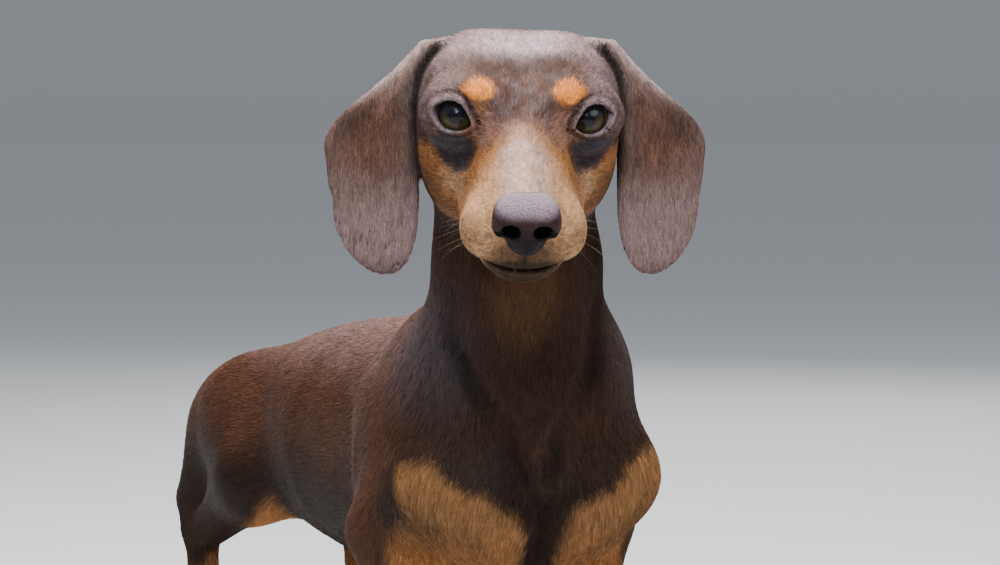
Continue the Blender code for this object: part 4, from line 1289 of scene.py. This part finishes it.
def turned_form(start, axis, profile, segments):
    """Rings round an axis, closed to a point at both ends. The profile gives places along it and radii."""
    across = unit(np.cross(axis, (0.0, 0.0, 1.0))[None])[0]
    out = spokes(segments, across, np.cross(axis, across))
    points = np.vstack([start + along * axis + radius * out for along, radius in profile[1:-1]])
    ends = [start + profile[k][0] * axis for k in (0, -1)]
    last = 1 + len(points) - segments
    faces = bands(len(profile) - 2, segments, 1)
    for k in range(segments):
        after = (k + 1) % segments
        faces += [(0, 1 + after, 1 + k), (last + k, last + after, last + segments)]
    return np.vstack([ends[0], points, ends[1]]), faces


IRIS_RADIUS = 0.0074
PUPIL_RADIUS = 0.0031
CORNEA_RISE = 0.0009
EYE_SEGMENTS = 96
EYE_RINGS = 72
GAZE = np.array((-0.3746, -0.92718, 0.0))
GAZE_OUTWARD = 5.0


def eye_piece(side, sign):
    """An eyeball with a swelling cornea, coloured as pupil, iris and white, with a painted sky reflection and
    lid shade over its upper part.
    """
    gaze = np.array(Matrix.Rotation(math.radians(sign * GAZE_OUTWARD), 3, "Z")) @ GAZE
    gaze = gaze / np.linalg.norm(gaze)
    centre = to_dog(EYE * (sign, 1, 1))
    polar = np.linspace(0, math.pi, EYE_RINGS + 1) ** 1.35 / math.pi**0.35
    swell = CORNEA_RISE * ramp(EYEBALL_RADIUS * np.sin(polar), 0.0072, 0.0) * (polar < math.pi / 2)
    radius = EYEBALL_RADIUS - 0.0002
    profile = [(radius * math.cos(t) + s, radius * math.sin(t)) for t, s in zip(polar, swell)]
    points, faces = turned_form(centre, gaze, profile[::-1], EYE_SEGMENTS)
    piece = new_mesh("eye_ball_" + side, points - FOOTPRINT_CENTRE, faces)
    away = points - centre
    ahead = away @ gaze
    spread = away - ahead[:, None] * gaze
    off = np.linalg.norm(spread, axis=1)
    turn = np.arctan2(spread[:, 2], spread @ np.cross(gaze, (0, 0, 1)))
    fibre = 0.5 + 0.5 * np.sin(turn * 47 + 3 * np.sin(turn * 13)) * np.sin(turn * 29)
    colour = painted(
        plain(IRIS, points),
        (IRIS_FIBRE, fibre),
        (IRIS_INNER, ramp(off, 0.0046, PUPIL_RADIUS)),
        (PUPIL, ramp(off, PUPIL_RADIUS + 0.0002, PUPIL_RADIUS - 0.0002)),
        # Painted sky reflection and lid shade over the upper part of the eye
        (PAINTED_SKY_AND_LID_SHADE, 0.85 * ramp(away[:, 2], -0.001, 0.0022)),
        (IRIS_EDGE, ramp(off, IRIS_RADIUS - 0.0014, IRIS_RADIUS - 0.0002)),
        (EYE_WHITE, ramp(off, IRIS_RADIUS, IRIS_RADIUS + 0.0008)),
    )
    colour[ahead < 0] = EYE_WHITE
    tint(piece, colour)
    return piece


def tube(path, radii, sides):
    """A closed tapered tube along a path, as corners and faces."""
    along = unit(np.gradient(path, axis=0))
    side = unit(np.cross(along, (0.13, 0.21, 0.97)))
    over = np.cross(side, along)
    rings = [c + r * spokes(sides, s, o) for c, r, s, o in zip(path, radii, side, over)]
    last = (len(path) - 1) * sides
    ends = [tuple(range(sides))[::-1], tuple(range(last, last + sides))]
    return np.vstack(rings), bands(len(path), sides) + ends


def joined(name, parts):
    """Several closed forms as one mesh."""
    points, faces, used = [], [], 0
    for part_points, part_faces in parts:
        points.append(part_points)
        faces += [tuple(i + used for i in face) for face in part_faces]
        used += len(part_points)
    piece = new_mesh(name, np.vstack(points) - FOOTPRINT_CENTRE, faces)
    with edited(piece) as work:
        bmesh.ops.recalc_face_normals(work, faces=work.faces)
    return piece


def from_leg(points, sign):
    """Places told on the left side's legs, straight and unstepped, set on the dog on one side."""
    step = np.where(points[:, 1] < HIND_FROM_Y, FORE_STEP, HIND_STEP)
    y = points[:, 1] - sign * step * (1 - np.clip(points[:, 2] / STEP_TOP, 0, 1))
    x = sign * points[:, 0] - SPINE_BEND * np.maximum(y, 0) ** 2
    x -= CHEST_BEND * np.minimum(y - CHEST_BEND_FROM, 0) ** 2
    return np.column_stack([x, y, points[:, 2]])


CLAW_LENGTH = 0.0068
CLAW_DROP = 0.005
CLAW_RADIUS = 0.0015
CLAW_TIP_RADIUS = 0.00025


def claws(name, foot, sign):
    """The four claws of one paw, each a curved, tapered horn over its toe's end."""
    parts = []
    for knuckle, tip in toe_ends(*foot):
        ahead = np.array(tip) - np.array(knuckle)
        ahead = ahead / np.linalg.norm(ahead)
        base = np.array(tip) + 0.0026 * ahead + (0, 0, 0.002)
        share = np.linspace(0, 1, 7)[:, None]
        path = base + ahead * CLAW_LENGTH * share + np.array((0, 0, -CLAW_DROP)) * share**2
        path[:, 2] = np.maximum(path[:, 2], 0.0008)
        radii = CLAW_RADIUS * (1 - share[:, 0] ** 1.5) + CLAW_TIP_RADIUS
        parts.append(tube(from_leg(path, sign), radii, 10))
    return joined(name, parts)


WHISKER_ROOT = np.array((0.0175, -0.052, -0.0245))
WHISKER_APART = np.array((0.0, 0.0085, -0.0036))
WHISKER_LENGTHS = (0.012, 0.026)
WHISKER_RADIUS = 0.000045
WHISKER_SAG = np.array((0, 0.25, -0.3))


def whiskers(rng):
    """Fine pale whiskers in three rows on both sides of the muzzle."""
    parts = []
    for _, sign in SIDES:
        for i, j in np.ndindex(3, 3):
            start = (WHISKER_ROOT + WHISKER_APART * (0, i, j)) * (sign, 1, 1)
            lean = np.array((0.9, 0.15 + 0.2 * i, -0.25 - 0.15 * j)) * (sign, 1, 1) + rng.normal(0, 0.16, 3)
            long = rng.uniform(*WHISKER_LENGTHS)
            share = np.linspace(0, 1, 9)[:, None]
            path = start + lean / np.linalg.norm(lean) * long * share + WHISKER_SAG * long * share**2
            parts.append(tube(to_dog(path), WHISKER_RADIUS * (1 - 0.8 * share[:, 0]), 4))
    return joined("whiskers", parts)


def one_part(piece):
    """Keep only the largest connected part of a mesh."""
    with edited(piece) as work:
        left, parts = set(work.verts), []
        while left:
            reached, part = [left.pop()], []
            while reached:
                corner = reached.pop()
                part.append(corner)
                near = {edge.other_vert(corner) for edge in corner.link_edges} & left
                left -= near
                reached += near
            parts.append(part)
        parts.sort(key=len)
        bmesh.ops.delete(work, geom=sum(parts[:-1], []), context="VERTS")


def grown_skin():
    """The skin, meshed from its field and cut finer on the face, with its colours and the coat's marks."""
    points, quads = meshed(skin, [spaced(table) for table in GRID])
    piece = new_mesh("skin", settled(skin, points, SKIN_CELL), quads)
    refined(piece, skin, faced, FACE_CELL)
    refined(piece, skin, lidded, LID_CELL)
    one_part(piece)
    points = corners_of(piece)
    tint(piece, markings_and_painted_light(points))
    shade(piece, "bare", bare(points))
    head_part = ramp(past_plane(points, HEAD_PLANE), 0.004, -0.004)
    shade(piece, "hangs", np.maximum(hanging(points) * (1 - head_part), ear_share(points)[0]))
    return piece


def grown_coat(piece, rng):
    """All the coat's regions, sown over the skin."""
    points = corners_of(piece)
    normals = np.empty(len(points) * 3)
    piece.data.vertex_normals.foreach_get("vector", normals)
    piece.data.calc_loop_triangles()
    triangles = np.empty(len(piece.data.loop_triangles) * 3, np.int64)
    piece.data.loop_triangles.foreach_get("vertices", triangles)
    normals, triangles = normals.reshape(-1, 3), triangles.reshape(-1, 3)
    middle = points[triangles].mean(1)
    names = region_of(middle)
    covered = (1 - bare(middle)) * ramp(np.abs(ear_share(middle)[2]), 0.0007, 0.0014)
    return {r: tufted(r, points, normals, triangles, covered * (names == r), rng) for r in COAT}


def nose_piece():
    """The bare nose, meshed finely, with a painted highlight on its top, painted shade low on its front and
    in the nostrils, and darker along its edge.
    """
    axes = [np.arange(c - NOSE_REACH, c + NOSE_REACH, NOSE_CELL) for c in to_dog(NOSE)]
    axes = [axis[: (len(axis) - 1) // BLOCK * BLOCK + 1] for axis in axes]
    points, quads = meshed(nose_pad, axes)
    points = settled(nose_pad, points, NOSE_CELL)
    piece = new_mesh("nose_pad", points - FOOTPRINT_CENTRE, quads)
    h = from_head(points)
    top = h[:, 2] - 0.25 * (h[:, 1] - NOSE[1])
    tint(piece, painted(
        plain(LIVER, points),
        # Painted highlight on the nose's top
        (NOSE_TOP_HIGHLIGHT, ramp(top, NOSE[2] + 0.005, NOSE[2] + 0.0095)),
        # Painted shade low on the nose's front
        (NOSE_SHADE, ramp(h[:, 2], NOSE[2] + 0.002, NOSE[2] - 0.005)),
        # Painted shade in the nostrils
        (NOSTRIL_SHADE, ramp(nostril(folded(h)), 0.0008, 0.0)),
        (DARK_SKIN, 0.7 * ramp(h[:, 1], -0.059, -0.057)),
    ))
    return piece


FLOOR_RADII = (0.5, 2.0, 8.0, 30.0)
FLOOR_SEGMENTS = 96


def floor_piece():
    """A plain pale floor, wide enough to reach the edge of every view."""
    out = spokes(FLOOR_SEGMENTS, (1.0, 0.0, 0.0), (0.0, 1.0, 0.0))
    points = np.vstack([np.zeros(3), *[radius * out for radius in FLOOR_RADII]])
    middle = [(0, 1 + k, 1 + (k + 1) % FLOOR_SEGMENTS) for k in range(FLOOR_SEGMENTS)]
    rings = [face[::-1] for face in bands(len(FLOOR_RADII), FLOOR_SEGMENTS, 1)]
    return new_mesh("floor", points, middle + rings)


def area_light(name, place, aim, size, power, colour):
    light = bpy.data.lights.new(name, "AREA")
    light.shape = "DISK"
    light.size = size
    light.energy = power
    light.color = colour
    made = placed(name, light)
    made.location = place
    made.rotation_euler = (Vector(aim) - Vector(place)).to_track_quat("-Z", "Y").to_euler()


def sky(low, high, strength):
    """A soft sky whose colour low down is the far floor's, so that no horizon shows."""
    world = bpy.data.worlds.new("soft_sky")
    world.use_nodes = True
    tree = world.node_tree
    parts = node(tree, "SeparateXYZ", Vector=node(tree, "TexCoord").outputs["Generated"])
    made = shades(tree, low, high, parts.outputs["Z"])
    made.color_ramp.elements[1].position = 0.5
    fed(tree, tree.nodes["Background"], Color=made.outputs["Color"], Strength=strength)
    bpy.context.scene.world = world


# The photograph's view: its direction over the floor, its distance and where the point between the eyes is
VIEW = Vector((0.3746, 0.92718, 0.0))
VIEW_DISTANCE = 1.25
VIEW_LENS = 112.03
PICTURE_WIDTH = 1000
EYES_RIGHT_OF_MIDDLE = 22
EYES_ABOVE_MIDDLE = 164.5


def photograph_view():
    data = bpy.data.cameras.new("photograph_view")
    data.sensor_width = 36
    data.lens = VIEW_LENS
    data.clip_start = 0.05
    camera = placed("photograph_view", data)
    eyes = Vector(EYE_MIDPOINT - FOOTPRINT_CENTRE)
    across = Vector((VIEW.y, -VIEW.x, 0))
    ahead = VIEW_LENS / data.sensor_width * PICTURE_WIDTH * VIEW
    ahead -= EYES_RIGHT_OF_MIDDLE * across + EYES_ABOVE_MIDDLE * Vector((0, 0, 1))
    camera.location = eyes - VIEW_DISTANCE * VIEW
    camera.rotation_euler = ahead.to_track_quat("-Z", "Y").to_euler()
    bpy.context.scene.camera = camera


FLESH = ("torso", "neck", "head", "tail", "lower_jaw", "ear_left", "ear_right")
LIMBS = ("foreleg_left", "foreleg_right", "hindleg_left", "hindleg_right")
PAWS = ("forepaw_left", "forepaw_right", "hindpaw_left", "hindpaw_right")


def dressed():
    """Every piece of the dog, with its material, set on its solids."""
    rng = np.random.default_rng(11)
    body_skin = grown_skin()
    coat = grown_coat(body_skin, rng)
    place_corners(body_skin, corners_of(body_skin) - FOOTPRINT_CENTRE)
    on_head = tinted_material("coat_of_head", Roughness=0.62, Specular_IOR_Level=0.13, **SHEEN)
    on_body = tinted_material("coat_of_body", Roughness=0.54, Specular_IOR_Level=0.13, **SHEEN)
    wet = tinted_material("wet_eye", Roughness=0.35, Specular_IOR_Level=0.05, **CORNEA_GLOSS)
    horn = plain_material("claw_horn", HORN, 0.35)
    worn = [(body_skin, skin_material(), "chocolate_coat")]
    for region, piece in coat.items():
        slot = "ear_coat" if region.startswith("ear_") else "chocolate_coat"
        worn.append((piece, on_head if region.startswith(("head", "muzzle", "ear_")) else on_body, slot))
    nose = nose_piece()
    worn.append((nose, nose_material(), "nose_leather"))
    eyes = {side: eye_piece(side, sign) for side, sign in SIDES}
    worn += [(piece, wet, "eye") for piece in eyes.values()]
    for side, sign in SIDES:
        worn.append((claws("foreclaws_" + side, FORE_PAW, sign), horn, "chocolate_coat"))
        worn.append((claws("hindclaws_" + side, HIND_PAW, sign), horn, "chocolate_coat"))
    worn.append((whiskers(rng), plain_material("whisker_hair", WHISKER, 0.4), "chocolate_coat"))
    for piece, material, slot in worn:
        piece.data.materials.append(material)
        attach(piece, "root")
    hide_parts(*FLESH, *LIMBS, *PAWS)
    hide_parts("nose")
    for side, piece in eyes.items():
        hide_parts("eye_" + side)


dressed()
floor = floor_piece()
floor.data.materials.append(plain_material("pale_floor", PALE_FLOOR, 0.85))
sky((0.52, 0.55, 0.6), (0.85, 0.9, 1.0), 0.45)
area_light("overhead", (-0.1, 0.0, 1.3), (0.0, -0.05, 0.15), 0.9, 34.0, (1.0, 0.98, 0.97))
area_light("front_above", (-0.55, -1.2, 1.4), (-0.02, -0.2, 0.24), 1.1, 12.0, (0.92, 0.96, 1.0))
area_light("catch", (-0.66, -1.25, 0.96), (-0.02, -0.23, 0.26), 0.26, 6.0, (0.66, 0.82, 1.0))
area_light("fill", (0.7, -1.05, 1.0), (-0.02, -0.2, 0.22), 0.9, 7.0, (0.92, 0.96, 1.0))
area_light("rim", (0.9, 1.2, 0.9), (0.0, 0.1, 0.15), 0.8, 8.0, (0.97, 0.97, 1.0))
photograph_view()
